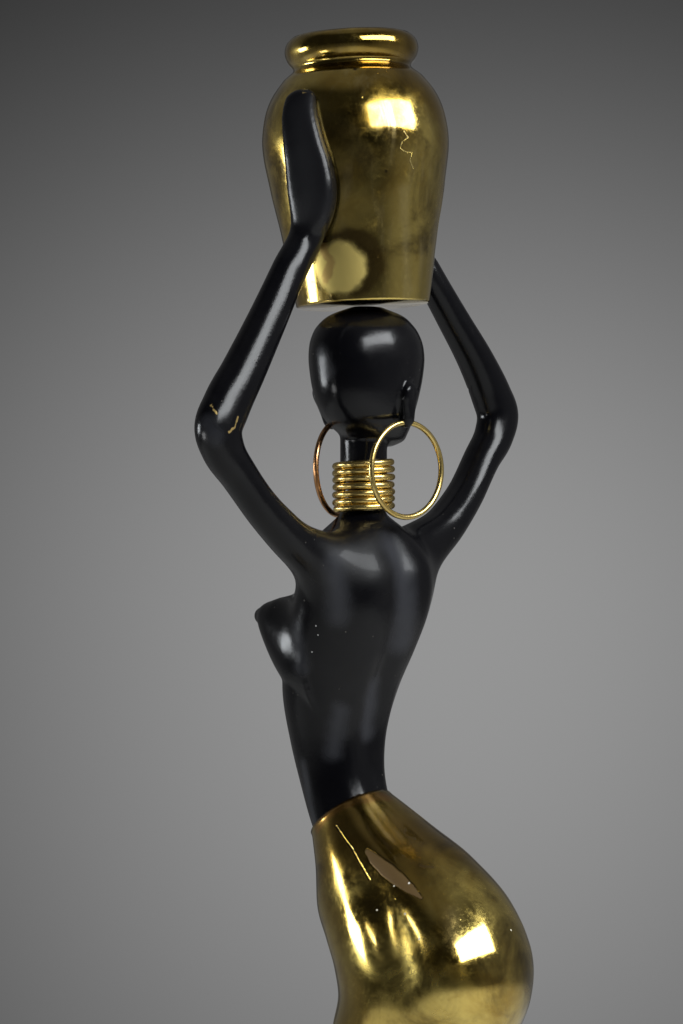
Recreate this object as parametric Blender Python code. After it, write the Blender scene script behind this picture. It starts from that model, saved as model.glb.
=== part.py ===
"""A standing cast brass figure of a woman who carries a jar on her head.

The upper body is patinated black; the wrap skirt, the jar, the hoop earrings and the wire round the
neck are bare brass. She faces -Y, her left side is +X, and the underside of the base is z = 0.
"""

import math

import bmesh
import bpy
import numpy as np
from mathutils import Matrix, Vector

# Driving dimensions, in metres.
BODY_HEIGHT = 0.648  # soles to the foot of the neck
HEAD_HEIGHT = 0.085  # chin to crown
BASE_RADIUS = 0.082
BASE_HEIGHT = 0.022
BASE_EDGE = 0.004  # rounding of the base's upper edge
JAR_HEIGHT = 0.1625
JAR_RADIUS = 0.0562
JAR_FOOT_RADIUS = 0.0405
JAR_NECK_RADIUS = 0.0355
JAR_LIP_RADIUS = 0.0405
JAR_WALL = 0.002
EARRING_RADIUS = 0.0282  # to the wire's centre line
EARRING_WIRE = 0.0017  # radius of the wire
COIL_WIRE = 0.0021  # radius of the wire
COIL_TURNS = 6.4
COIL_PITCH = 0.0044
NECK_RADIUS = 0.0142
NECK_SHOWN = 0.0075  # of the neck, between the wire and the chin
LEFT_LOBE_REACH = 0.0029  # how far the lobe's bore lies outside the side of the head
RIGHT_LOBE_REACH = 0.0077
GAP = 0.0003  # between pieces that touch
VOXEL = 0.0022  # grain at which the cast forms are fused
JAR_SIDES = 32

# Pose, in degrees.
HEAD_TURN = 78.0  # to her right, from straight ahead
JAR_LEAN = 2.6
JAR_LEAN_HEADING = -48.0  # from +X, seen from above
LEFT_GRIP = 8.0  # place of the palm round the jar, from +X
RIGHT_GRIP = 191.0
WAIST_PITCH = 36.0  # the skirt's upper edge is higher at the back

# The pose and the carving are shares of the body's height and of the head's height.
MM = BODY_HEIGHT / 648
HEAD_MM = HEAD_HEIGHT / 88

NECK_BASE = 646
NECK_Y = -17
HEAD_Y = -14.5
WAIST_Y, WAIST_Z = -27, 464
WAIST_HALF_WIDTH, WAIST_HALF_DEPTH = 26.5, 27
HEM_Z = 29

BLACK = (0.012, 0.012, 0.013)
BRASS = (0.62, 0.46, 0.17)


def figure_point(x, y, z):
    """A place on the body, with z from the soles, in parts of which the body's height has 648."""
    return Vector((x * MM, y * MM, BASE_HEIGHT + GAP + z * MM))


COIL_BOTTOM = figure_point(0, 0, NECK_BASE).z + COIL_WIRE + GAP
COIL_HEIGHT = COIL_TURNS * COIL_PITCH
CHIN = COIL_BOTTOM + COIL_HEIGHT + COIL_WIRE + NECK_SHOWN
CROWN = CHIN + HEAD_HEIGHT


def material(name, color, roughness):
    """A metal finish."""
    made = bpy.data.materials.new(name)
    made.use_nodes = True
    shader = made.node_tree.nodes["Principled BSDF"]
    shader.inputs["Base Color"].default_value = (*color, 1)
    shader.inputs["Metallic"].default_value = 1.0 if color == BRASS else 0.0
    shader.inputs["Roughness"].default_value = roughness
    return made


def add_object(name, mesh, color, roughness):
    """An object of that mesh in the scene, with a material of its own."""
    made = bpy.data.objects.new(name, mesh)
    bpy.context.scene.collection.objects.link(made)
    mesh.materials.append(material(name, color, roughness))
    mesh.shade_smooth()
    return made


def add_cutter(name, mesh):
    """An object that only cuts others."""
    made = bpy.data.objects.new(name, mesh)
    bpy.context.scene.collection.objects.link(made)
    made.hide_render = True
    made.display_type = "WIRE"
    return made


def cut(target, cutter):
    """Takes the cutter's volume out of the target."""
    step = target.modifiers.new(cutter.name, "BOOLEAN")
    step.object = cutter
    step.operation = "DIFFERENCE"
    step.solver = "EXACT"


def read_curve(rows, count):
    """Rows of numbers, the first three a place, read at even steps along a smooth curve through them."""
    rows = np.array(rows, float)
    gaps = np.linalg.norm(np.diff(rows[:, :3], axis=0), axis=1)
    knots = np.concatenate(([0.0], np.cumsum(gaps)))
    slopes = np.gradient(rows, knots, axis=0)
    at = np.linspace(0, knots[-1], count)
    cell = np.clip(np.searchsorted(knots, at, side="right") - 1, 0, len(gaps) - 1)
    span = gaps[cell][:, None]
    t = ((at - knots[cell]) / gaps[cell])[:, None]
    return (
        (2 * t**3 - 3 * t**2 + 1) * rows[cell]
        + (t**3 - 2 * t**2 + t) * span * slopes[cell]
        + (3 * t**2 - 2 * t**3) * rows[cell + 1]
        + (t**3 - t**2) * span * slopes[cell + 1]
    )


def skin(rings):
    """A closed mesh over rings of points, the first and last ring closed by a fan to its middle."""
    bm = bmesh.new()
    loops = [[bm.verts.new(p) for p in ring] for ring in rings]
    sides = len(loops[0])
    for low, high in zip(loops, loops[1:]):
        for i in range(sides):
            j = (i + 1) % sides
            bm.faces.new((low[i], low[j], high[j], high[i]))
    for ring, loop, flip in ((rings[0], loops[0], True), (rings[-1], loops[-1], False)):
        middle = bm.verts.new(np.mean(ring, axis=0))
        for i in range(sides):
            j = (i + 1) % sides
            bm.faces.new((loop[j], loop[i], middle) if flip else (loop[i], loop[j], middle))
    bmesh.ops.recalc_face_normals(bm, faces=bm.faces)
    return bm


def ellipse(middle, across, along, sides):
    """A ring of points round a middle, from two half axes."""
    turn = np.linspace(0, 2 * math.pi, sides, endpoint=False)[:, None]
    return np.array(middle) + np.cos(turn) * np.array(across) + np.sin(turn) * np.array(along)


def rounded_end(middle, across, along, out, sides, outermost_first):
    """Rings that close the end of a form with a dome that reaches out from its last ring."""
    rings = []
    for lift in (0.35, 0.65, 0.87, 0.97):
        shrink = math.sqrt(1 - lift**2)
        rings.append(ellipse(middle + out * lift, across * shrink, along * shrink, sides))
    return rings[::-1] if outermost_first else rings


def limb(rows, count, sides):
    """A limb with domed ends. A row is x, y, z, half size along Y and half size in the limb's plane."""
    read = read_curve(rows, count)
    places = read[:, :3]
    heading = np.gradient(places, axis=0)
    heading /= np.linalg.norm(heading, axis=1)[:, None]
    frames = []
    for place, ahead, half_y, half_plane in zip(places, heading, read[:, 3], read[:, 4]):
        along = np.array((0.0, 1.0, 0.0)) - ahead * ahead[1]
        along /= np.linalg.norm(along)
        across = np.cross(along, ahead)
        frames.append((place, across * half_plane, along * half_y, ahead * min(half_y, half_plane)))
    first, last = frames[0], frames[-1]
    rings = rounded_end(first[0], first[1], first[2], -first[3], sides, True)
    rings += [ellipse(place, across, along, sides) for place, across, along, _ in frames]
    rings += rounded_end(last[0], last[1], last[2], last[3], sides, False)
    return skin(rings)


def pitched_ring(row, sides):
    """A ring of the trunk. The row is x, y, z, half width, half depth and the pitch of its plane."""
    x, y, z, half_width, half_depth, pitch = row
    tilt = math.radians(pitch)
    along = np.array((0.0, half_depth * math.cos(tilt), half_depth * math.sin(tilt)))
    return ellipse((x, y, z), (half_width, 0.0, 0.0), along, sides)


def on_figure(rows):
    """Rows of places and sizes in parts of the body's height, as rows in metres. Pitches stay."""
    made = []
    for x, y, z, first, second, *rest in rows:
        made.append((*figure_point(x, y, z), first * MM, second * MM, *rest))
    return made


def torso():
    """Waist, rib cage, shoulders and neck, which runs on into the head."""
    rows = on_figure([
        (0, -18, 446, 25, 24, 34),
        (0, -28, 466, 25.5, 24, 28),
        (0, -34, 484, 27, 24, 14),
        (0, -38, 508, 31, 26.5, 4),
        (0, -36, 539, 39, 31.5, 0),
        (0, -27, 568, 46, 33, -6),
        (-1, -17, 597, 52.5, 32, -8),
        (-2, -13, 619, 51, 28.5, -8),
        (0, -14, 632, 38, 24, -4),
        (0, -16, 640, 22, 19.5, 0),
    ])
    radius = NECK_RADIUS
    neck_x, neck_y, neck_z = figure_point(0, NECK_Y, NECK_BASE)
    rows.append((neck_x, neck_y, neck_z, radius, radius, 0))
    rows.append((neck_x, neck_y, neck_z + 0.3 * COIL_HEIGHT, radius, radius, 0))
    rows.append((neck_x, neck_y, CHIN + 0.25 * HEAD_HEIGHT, radius, radius, 0))
    return skin([pitched_ring(row, 40) for row in read_curve(rows, 56)])


def breast(side):
    """A pointed breast, from inside the rib cage to its tip."""
    rows = on_figure([
        (side * 17, -26, 562, 28, 43),
        (side * 20, -44, 566, 24.5, 34.5),
        (side * 22.5, -57, 571, 18.5, 25.5),
        (side * 24.5, -67, 577, 12.5, 16.5),
        (side * 25.5, -74, 581.5, 7.6, 9.6),
        (side * 25.5, -78, 583.5, 4.4, 5.2),
    ])
    read = read_curve(rows, 14)
    rings = [ellipse(row[:3], (row[3], 0, 0), (0, 0, row[4]), 28) for row in read]
    tip = read[-1]
    out = np.array((0.0, -tip[3], 0.0))
    rings += rounded_end(tip[:3], np.array((tip[3], 0, 0)), np.array((0, 0, tip[4])), out, 28, False)
    return skin(rings)


def jar_frame():
    """The jar's place: its foot's middle on the crown, its axis leaning."""
    heading = math.radians(JAR_LEAN_HEADING)
    lean_axis = Vector((-math.sin(heading), math.cos(heading), 0))
    place = Vector((0.001, -0.0166, CROWN))
    return Matrix.Translation(place) @ Matrix.Rotation(math.radians(JAR_LEAN), 4, lean_axis)


def jar_outline():
    """Radius and height of the jar's outer side, from the foot to the top of the rolled lip."""
    lip = JAR_LIP_RADIUS - JAR_NECK_RADIUS
    marks = [
        (JAR_FOOT_RADIUS - 0.0015, 0.0),
        (JAR_FOOT_RADIUS, 0.0015),
        (0.55 * JAR_FOOT_RADIUS + 0.45 * JAR_RADIUS, 0.28 * JAR_HEIGHT),
        (0.22 * JAR_FOOT_RADIUS + 0.78 * JAR_RADIUS, 0.44 * JAR_HEIGHT),
        (JAR_RADIUS, 0.64 * JAR_HEIGHT),
        (0.25 * JAR_NECK_RADIUS + 0.75 * JAR_RADIUS, 0.765 * JAR_HEIGHT),
        (0.66 * JAR_NECK_RADIUS + 0.34 * JAR_RADIUS, 0.84 * JAR_HEIGHT),
        (JAR_NECK_RADIUS, 0.888 * JAR_HEIGHT),
        (JAR_NECK_RADIUS + 0.55 * lip, 0.908 * JAR_HEIGHT),
        (JAR_LIP_RADIUS, 0.95 * JAR_HEIGHT),
        (JAR_LIP_RADIUS - 0.35 * lip, 0.985 * JAR_HEIGHT),
        (JAR_LIP_RADIUS - 0.9 * lip, JAR_HEIGHT),
    ]
    read = read_curve([(radius, 0.0, height) for radius, height in marks[1:]], 15)
    return marks[:1] + [(float(radius), float(height)) for radius, _, height in read]


def jar_radius_at(height):
    """The jar's outer radius at a height above its foot."""
    radii, heights = zip(*jar_outline())
    return float(np.interp(height, heights, radii))


def palm(side):
    """The hand's rows, laid up the jar's side from the wrist to the finger tips."""
    # A station is a share of the jar's height, the half width, the half thickness and a turn in degrees.
    stations = [
        (0.262, 0.0104, 0.0094, 1),
        (0.322, 0.0132, 0.0086, 4.5),
        (0.395, 0.0150, 0.0078, 7),
        (0.47, 0.0143, 0.0070, 6.6),
        (0.58, 0.0120, 0.0062, 4.2),
        (0.70, 0.0098, 0.0052, 1.2),
        (0.745, 0.0084, 0.0042, 0.5),
    ]
    frame = jar_frame()
    rows = []
    for share, half_width, half_thick, turn in stations:
        heading = math.radians(LEFT_GRIP + turn if side > 0 else RIGHT_GRIP - turn)
        height = share * JAR_HEIGHT
        reach = jar_radius_at(height) + half_thick - GAP
        place = frame @ Vector((reach * math.cos(heading), reach * math.sin(heading), height))
        rows.append((*place, half_width, half_thick))
    return rows


def left_arm():
    """Shoulder, raised upper arm, bent elbow, forearm and hand."""
    rows = on_figure([
        (24, -15, 606, 20, 24),
        (44, -14, 617.5, 17.5, 19.5),
        (66, -13, 629, 14, 13.6),
        (89.5, -14, 646, 12.4, 10.6),
        (109, -16, 666.5, 12, 10.6),
        (121.5, -17, 681.5, 12.2, 13),
        (125.5, -17, 693, 12.4, 15.2),
        (119, -17, 706.5, 12.8, 15),
        (106, -16, 727, 12.4, 13.6),
        (88, -14, 757.5, 11.2, 12),
        (71.5, -12, 787, 10.2, 11),
    ])
    return limb(rows + palm(1), 46, 28)


def right_arm():
    """The farther arm, raised a little higher at the elbow."""
    rows = on_figure([
        (-24, -15, 608, 20, 25),
        (-45, -14, 622, 17.5, 20),
        (-68, -13, 637, 14, 13.8),
        (-91, -14, 657, 12.4, 11.4),
        (-110, -15, 681, 12, 11.4),
        (-122, -15, 696, 12.2, 13),
        (-126, -15, 709, 12.4, 14.4),
        (-120.5, -16, 722, 12.6, 13.2),
        (-109, -17, 740, 12.2, 11.2),
        (-87, -20, 769, 10.6, 9.6),
        (-65, -23, 797, 9.8, 9.2),
    ])
    return limb(rows + palm(-1), 46, 28)


def head_frame():
    """The head's own axes: -Y is its face, +X its left ear, z = 0 its chin."""
    place = Vector((0, HEAD_Y * MM, CHIN))
    return Matrix.Translation(place) @ Matrix.Rotation(-math.radians(HEAD_TURN), 4, "Z")


def head_form(stations, sides, frame):
    """A form on the head from rows of x, y, z, half width and half length."""
    rings = []
    for x, y, z, half_width, half_length in stations:
        middle = frame @ (Vector((x, y, z)) * HEAD_MM)
        across = frame.to_3x3() @ Vector((half_width * HEAD_MM, 0, 0))
        along = frame.to_3x3() @ Vector((0, half_length * HEAD_MM, 0))
        rings.append(ellipse(middle, across, along, sides))
    return skin(rings)


def head():
    """The bare skull and the face's mass, from the chin up to the crown."""
    rows = [
        (0, -13, 0.3, 8, 12),
        (0, -12, 3, 14, 20.5),
        (0, -8, 8, 19.2, 27.5),
        (0, -4, 14, 23.4, 33),
        (0, -1, 22, 27, 37.2),
        (0, 0, 31, 30, 40),
        (0, 0, 45, 33, 42.2),
        (0, 0, 57, 33.9, 42.8),
        (0, 0.5, 67, 32.6, 40),
        (0, 1, 75.5, 28.3, 34),
        (0, 0.5, 82.3, 20.5, 24.5),
        (0, 0, 87, 9, 10.5),
    ]
    return head_form(read_curve(rows, 30), 32, head_frame())


def nose():
    """A plain straight nose on the face's middle line."""
    rows = [
        (0, -39, 25.5, 3, 2),
        (0, -40, 27.5, 5.6, 4.6),
        (0, -39, 33, 4.2, 4.6),
        (0, -37, 40, 3, 4),
        (0, -36, 46, 2.6, 3),
    ]
    return head_form(rows, 16, head_frame())


def lips():
    """A closed mouth."""
    rows = [(0, -34, 13.5, 4, 2.5), (0, -33.4, 16, 8, 4.2), (0, -33.8, 19, 8, 3.8), (0, -34.4, 21, 4, 2.5)]
    return head_form(rows, 16, head_frame())


def lobe_reach(side):
    """The lobe's reach beyond the side of the head, in parts of which the head's height has 88."""
    return (LEFT_LOBE_REACH if side > 0 else RIGHT_LOBE_REACH) / HEAD_MM


def ear(side):
    """A plain flat ear that ends below in the lobe that the hoop hangs in."""
    reach = lobe_reach(side)
    rows = [
        (side * (20.5 + reach), 2, 11, 2.4, 2.4),
        (side * (21.5 + reach), 2, 13.5, 4.2, 3.8),
        (side * (23.5 + 0.9 * reach), 2.6, 19, 4.4, 4.6),
        (side * (27 + 0.6 * reach), 3.2, 25.5, 3.8, 6.4),
        (side * (30.6 + 0.3 * reach), 3.6, 31.5, 3.4, 7.4),
        (side * (32.4 + 0.15 * reach), 3.6, 36, 2.8, 6.4),
        (side * (32.6 + 0.1 * reach), 3, 39, 1.9, 3.4),
    ]
    return head_form(read_curve(rows, 14), 20, head_frame())


def earring_frame(side):
    """Where a hoop hangs: its middle, and the turn of its plane beside the head."""
    lobe = head_frame() @ (Vector((side * (21.5 + lobe_reach(side)), 2, 14.2)) * HEAD_MM)
    drop = Vector((0, 0, -EARRING_RADIUS))
    swing, roll = (0, -20) if side > 0 else (-19, 0)
    plane = head_frame().to_3x3().to_4x4() @ Matrix.Rotation(math.radians(swing), 4, "Z")
    hang = plane @ Matrix.Rotation(math.radians(roll), 4, "X")
    return Matrix.Translation(lobe) @ hang @ Matrix.Translation(drop) @ Matrix.Rotation(math.pi / 2, 4, "Y")


def torus(ring_radius, wire_radius, turns, sides):
    """A closed ring of wire round the Z axis."""
    bm = bmesh.new()
    loops = []
    for i in range(turns):
        angle = 2 * math.pi * i / turns
        out = Vector((math.cos(angle), math.sin(angle), 0))
        loop = []
        for j in range(sides):
            round_wire = 2 * math.pi * j / sides
            place = out * (ring_radius + wire_radius * math.cos(round_wire))
            place.z = wire_radius * math.sin(round_wire)
            loop.append(bm.verts.new(place))
        loops.append(loop)
    for i in range(turns):
        here, there = loops[i], loops[(i + 1) % turns]
        for j in range(sides):
            k = (j + 1) % sides
            bm.faces.new((here[j], there[j], there[k], here[k]))
    bmesh.ops.recalc_face_normals(bm, faces=bm.faces)
    return bm


def to_mesh(bm, name):
    """A mesh of that name from a bmesh, which is freed."""
    mesh = bpy.data.meshes.new(name)
    bm.to_mesh(mesh)
    bm.free()
    return mesh


def joined(forms, name):
    """One mesh that holds several forms."""
    whole = bmesh.new()
    for form in forms:
        mesh = to_mesh(form, name)
        whole.from_mesh(mesh)
        bpy.data.meshes.remove(mesh)
    return to_mesh(whole, name)


def turned(outline, name, steps):
    """A solid of revolution round Z from its outer outline, bottom to top."""
    angles = [2 * math.pi * i / steps for i in range(steps)]
    rings = [[(r * math.cos(a), r * math.sin(a), z) for a in angles] for r, z in outline]
    return to_mesh(skin(rings), name)


def make_jar():
    """The jar: a turned brass shell with a closed foot and a rolled lip."""
    outer = jar_outline()
    inner = []
    for radius, height in outer:
        if JAR_WALL < height < 0.9 * JAR_HEIGHT:
            inner.append((radius - JAR_WALL, height))
    inner.append((outer[-1][0] - JAR_WALL, JAR_HEIGHT))
    inner.append((outer[-1][0] - JAR_WALL, 1.1 * JAR_HEIGHT))
    inner.insert(0, (JAR_FOOT_RADIUS - JAR_WALL, JAR_WALL))
    jar = add_object("jar", turned(outer, "jar", JAR_SIDES), BRASS, 0.12)
    hollow = add_cutter("jar_hollow", turned(inner, "jar_hollow", JAR_SIDES))
    for piece in (jar, hollow):
        piece.matrix_world = jar_frame()
    cut(jar, hollow)


def make_jar_clearance():
    """The jar's outer form with a touch of air round it, which palms and crown give way to."""
    outline = [(radius + GAP, height) for radius, height in jar_outline()]
    outline[0] = (outline[0][0], -GAP)
    clearance = add_cutter("jar_clearance", turned(outline, "jar_clearance", JAR_SIDES))
    clearance.matrix_world = jar_frame()
    return clearance


def make_waist_cutter():
    """A block whose upper face is the plane of the skirt's upper edge."""
    bm = bmesh.new()
    bmesh.ops.create_cube(bm, size=2.0)
    bmesh.ops.scale(bm, vec=(0.08 * BODY_HEIGHT, 0.08 * BODY_HEIGHT, 0.05 * BODY_HEIGHT), verts=bm.verts)
    bmesh.ops.translate(bm, vec=(0, 0, GAP - 0.05 * BODY_HEIGHT), verts=bm.verts)
    block = add_cutter("waist_cutter", to_mesh(bm, "waist_cutter"))
    pitch = Matrix.Rotation(math.radians(WAIST_PITCH), 4, "X")
    block.matrix_world = Matrix.Translation(figure_point(0, WAIST_Y, WAIST_Z)) @ pitch
    return block


def make_figure():
    """Head, torso, arms and hands, fused as one casting."""
    forms = [torso(), breast(1), breast(-1), left_arm(), right_arm(), head(), nose(), lips(), ear(1), ear(-1)]
    figure = add_object("figure", joined(forms, "figure"), BLACK, 0.35)
    fuse = figure.modifiers.new("fuse", "REMESH")
    fuse.mode = "VOXEL"
    fuse.voxel_size = VOXEL
    ease = figure.modifiers.new("ease", "SMOOTH")
    ease.factor = 0.5
    ease.iterations = 5
    thin = figure.modifiers.new("thin", "DECIMATE")
    thin.ratio = 0.0445
    cut(figure, make_waist_cutter())
    cut(figure, make_jar_clearance())
    for side, name in ((1, "lobe_bore_left"), (-1, "lobe_bore_right")):
        bore = add_cutter(name, to_mesh(torus(EARRING_RADIUS, EARRING_WIRE + GAP, 32, 10), name))
        bore.matrix_world = earring_frame(side)
        cut(figure, bore)


def make_earrings():
    """Two closed hoops of round wire."""
    for side, name in ((1, "earring_left"), (-1, "earring_right")):
        hoop = add_object(name, to_mesh(torus(EARRING_RADIUS, EARRING_WIRE, 28, 6), name), BRASS, 0.3)
        hoop.matrix_world = earring_frame(side)


def make_neck_coil():
    """One wire wound round the neck, lying turn on turn."""
    steps = round(12 * COIL_TURNS)
    radius = NECK_RADIUS + COIL_WIRE + 2 * GAP
    rings = []
    for i in range(steps + 1):
        angle = 2 * math.pi * i * COIL_TURNS / steps
        out = np.array((math.cos(angle), math.sin(angle), 0.0))
        middle = out * radius + np.array((0, NECK_Y * MM, COIL_BOTTOM + COIL_HEIGHT * i / steps))
        rings.append(ellipse(middle, out * COIL_WIRE, np.array((0, 0, COIL_WIRE)), 6))
    add_object("neck_coil", to_mesh(skin(rings), "neck_coil"), BRASS, 0.3)


def skirt_rows():
    """Sections of the skirt from its upper edge to the hem."""
    return on_figure([
        (0, WAIST_Y, WAIST_Z, WAIST_HALF_WIDTH, WAIST_HALF_DEPTH, WAIST_PITCH),
        (0, -10, 446, 36, 37, 28),
        (0, 8, 425, 44, 52, 22),
        (0, 27, 403, 52, 59, 14),
        (0, 38, 380, 56, 59.5, 5),
        (0, 39, 361, 56, 56.5, 0),
        (0, 31.5, 340, 54, 54.5, -4),
        (0, 20, 308, 52, 52, -8),
        (0, 4, 263, 47, 45, -8),
        (0, -7, 213, 42, 38, -4),
        (0, -9, 168, 38, 33, 0),
        (0, -3, 118, 33, 28, 4),
        (0, 3, 70, 30, 26, 3),
        (0, 7, HEM_Z, 32, 29, 0),
    ])


def skirt_relief(heading, height):
    """How far the cloth stands off its plain section, in parts of the body's height."""
    def swell(middle, spread, level, reach, amount):
        turn = (heading - middle + 180) % 360 - 180
        return amount * math.exp(-((turn / spread) ** 2) - ((height - level) / reach) ** 2)

    return (
        swell(90, 48, 372, 40, -2.5)
        + swell(64, 38, 373, 32, 11.5)
        + swell(118, 30, 370, 32, 1.5)
        + swell(64, 34, 436, 24, -1.5)
        + swell(68, 23, 373, 34, -2.6)
        + swell(20, 13, 388, 44, -5.0)
        + swell(160, 13, 388, 44, -3.4)
        + swell(270, 28, 366, 28, 5.5)
        + swell(270, 14, 190, 90, -2.0)
    )


def make_skirt():
    """The wrap skirt, tight over the hips and narrow to the ankles."""
    sides = 32
    rings = []
    for row in read_curve(skirt_rows(), 27):
        ring = pitched_ring(row, sides)
        middle = np.array(row[:3])
        height = (row[2] - BASE_HEIGHT - GAP) / MM
        for i in range(sides):
            out = ring[i] - middle
            relief = skirt_relief(360 * i / sides, height) * MM
            ring[i] = ring[i] + out / np.linalg.norm(out) * relief
        rings.append(ring)
    add_object("skirt", to_mesh(skin(rings), "skirt"), BRASS, 0.1)


def make_feet():
    """Bare feet that carry the skirt's hem."""
    for side, name, step in ((1, "foot_left", -4), (-1, "foot_right", 4)):
        rows = on_figure([
            (side * 13, 26 + step, 5, 7, 5.5),
            (side * 13, 18 + step, 10, 10, 11.5),
            (side * 13, 4 + step, 13, 9.5, 14.5),
            (side * 13.5, -12 + step, 10, 10, 11.5),
            (side * 14, -30 + step, 6, 12, 7.5),
            (side * 14.5, -44 + step, 3.5, 11, 5),
            (side * 14.5, -50 + step, 2.5, 8, 3.6),
        ])
        rings = [ellipse(row[:3], (row[3], 0, 0), (0, 0, row[4]), 20) for row in read_curve(rows, 16)]
        ankle = on_figure([(side * 13, 8 + step, 12, 8.5, 9, 0), (side * 13, 8 + step, 60, 8.5, 9, 0)])
        leg = [pitched_ring(row, 16) for row in ankle]
        foot = add_object(name, joined([skin(rings), skin(leg)], name), BLACK, 0.35)
        fuse = foot.modifiers.new("fuse", "REMESH")
        fuse.mode = "VOXEL"
        fuse.voxel_size = VOXEL
        thin = foot.modifiers.new("thin", "DECIMATE")
        thin.ratio = 0.066
        cut(foot, bpy.data.objects["sole_cutter"])
        cut(foot, bpy.data.objects["hem_cutter"])


def make_foot_cutters():
    """Blocks below the soles and above the skirt's hem."""
    half = 0.1 * BODY_HEIGHT
    hem = figure_point(0, 0, HEM_Z).z
    floor = BASE_HEIGHT + GAP
    for name, middle in (("sole_cutter", floor - half), ("hem_cutter", hem - GAP + half)):
        bm = bmesh.new()
        bmesh.ops.create_cube(bm, size=2 * half)
        block = add_cutter(name, to_mesh(bm, name))
        block.location = (0, 0, middle)


def make_base():
    """A low round base with a rounded upper edge."""
    outline = [(BASE_RADIUS, 0.0), (BASE_RADIUS, BASE_HEIGHT - BASE_EDGE)]
    for step in range(1, 4):
        angle = math.pi / 2 * step / 3
        radius = BASE_RADIUS - BASE_EDGE * (1 - math.cos(angle))
        outline.append((radius, BASE_HEIGHT - BASE_EDGE * (1 - math.sin(angle))))
    add_object("base", turned(outline, "base", 48), BLACK, 0.4)


for old in list(bpy.data.objects):
    bpy.data.objects.remove(old)

make_base()
make_foot_cutters()
make_feet()
make_skirt()
make_figure()
make_neck_coil()
make_earrings()
make_jar()
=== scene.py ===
# %% [markdown]
# A cast brass figure of a woman who carries a jar on her head, seen from behind her left shoulder.
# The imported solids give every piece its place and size. This script lays finer skins over them, gives
# each metal its finish and sets up the studio. It is read from top to bottom, one cell at a time.

# %% Load the frame
import math

import bmesh
import bpy
import numpy as np
from mathutils import Matrix, Vector, noise
from mathutils.bvhtree import BVHTree


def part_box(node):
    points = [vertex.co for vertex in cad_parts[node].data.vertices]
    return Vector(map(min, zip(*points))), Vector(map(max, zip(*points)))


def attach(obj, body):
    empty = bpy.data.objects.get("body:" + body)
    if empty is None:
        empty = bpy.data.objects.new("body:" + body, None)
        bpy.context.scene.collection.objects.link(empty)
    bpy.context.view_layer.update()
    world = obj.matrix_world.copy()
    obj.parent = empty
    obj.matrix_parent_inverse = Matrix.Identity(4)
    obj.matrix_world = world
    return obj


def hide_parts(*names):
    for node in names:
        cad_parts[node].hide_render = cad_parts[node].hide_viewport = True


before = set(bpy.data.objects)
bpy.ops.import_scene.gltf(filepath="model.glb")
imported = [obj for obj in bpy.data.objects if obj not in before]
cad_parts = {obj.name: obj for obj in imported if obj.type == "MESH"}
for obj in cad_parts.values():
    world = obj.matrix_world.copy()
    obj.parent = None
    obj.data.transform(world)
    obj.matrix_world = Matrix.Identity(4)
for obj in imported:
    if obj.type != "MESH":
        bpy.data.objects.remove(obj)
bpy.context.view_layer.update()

print("frame nodes:", sorted(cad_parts))

# %% [markdown]
# The camera comes first, because marks on the metal are placed where the camera sees them. The lens is
# long, the camera stands at the height of the nape and looks up by less than a degree.

# %% Camera
PHOTO_WIDTH, PHOTO_HEIGHT = 683, 1024
FOCAL_PIXELS = 3000
SENSOR = 36.0
VIEW_AZIMUTH = math.radians(132)
CAMERA_DISTANCE = 1.8
CAMERA_HEIGHT = 0.650
CAMERA_SIDE = -0.026
CAMERA_PITCH = math.radians(0.6)

toward_camera = Vector((math.sin(VIEW_AZIMUTH), -math.cos(VIEW_AZIMUTH), 0))
image_right = Vector((math.cos(VIEW_AZIMUTH), math.sin(VIEW_AZIMUTH), 0))
camera = bpy.data.objects.new("camera", bpy.data.cameras.new("camera"))
bpy.context.scene.collection.objects.link(camera)
bpy.context.scene.camera = camera
camera.data.sensor_width = SENSOR
camera.data.lens = FOCAL_PIXELS / PHOTO_HEIGHT * SENSOR
camera.location = toward_camera * CAMERA_DISTANCE + image_right * CAMERA_SIDE + Vector((0, 0, CAMERA_HEIGHT))
camera.rotation_euler = (math.pi / 2 + CAMERA_PITCH, 0, VIEW_AZIMUTH)
bpy.context.view_layer.update()
print("camera lens", round(camera.data.lens, 1), "mm")

# %% [markdown]
# A few sizes drive the rest: the height of the body and of the head, the base's height, which the frame
# gives, and a thin gap of air that keeps pieces apart where they touch. Body forms are written in parts
# of which the body has 648, close to millimetres, so the figure grows as a whole when its height does.

# %% Driving sizes
BODY_HEIGHT = 0.648
HEAD_HEIGHT = 0.085
BASE_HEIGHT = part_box("base")[1].z
GAP = 0.0003
CHIN_OVER_BASE = 0.6862

MM = BODY_HEIGHT / 648
HEAD_MM = HEAD_HEIGHT / 88
CHIN = BASE_HEIGHT + GAP + CHIN_OVER_BASE
CROWN = CHIN + HEAD_HEIGHT
print("chin at", round(CHIN * 1000, 1), "mm, crown at", round(CROWN * 1000, 1), "mm")

# %% [markdown]
# Every cast form is a row of sections. A row gives a place and two half sizes, and a smooth curve is
# read between the rows, so a few numbers hold an arm or a hip. A figure could also be sculpted by hand
# or built from subdivided boxes. Sections are chosen because they could be measured on the real thing.

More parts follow.
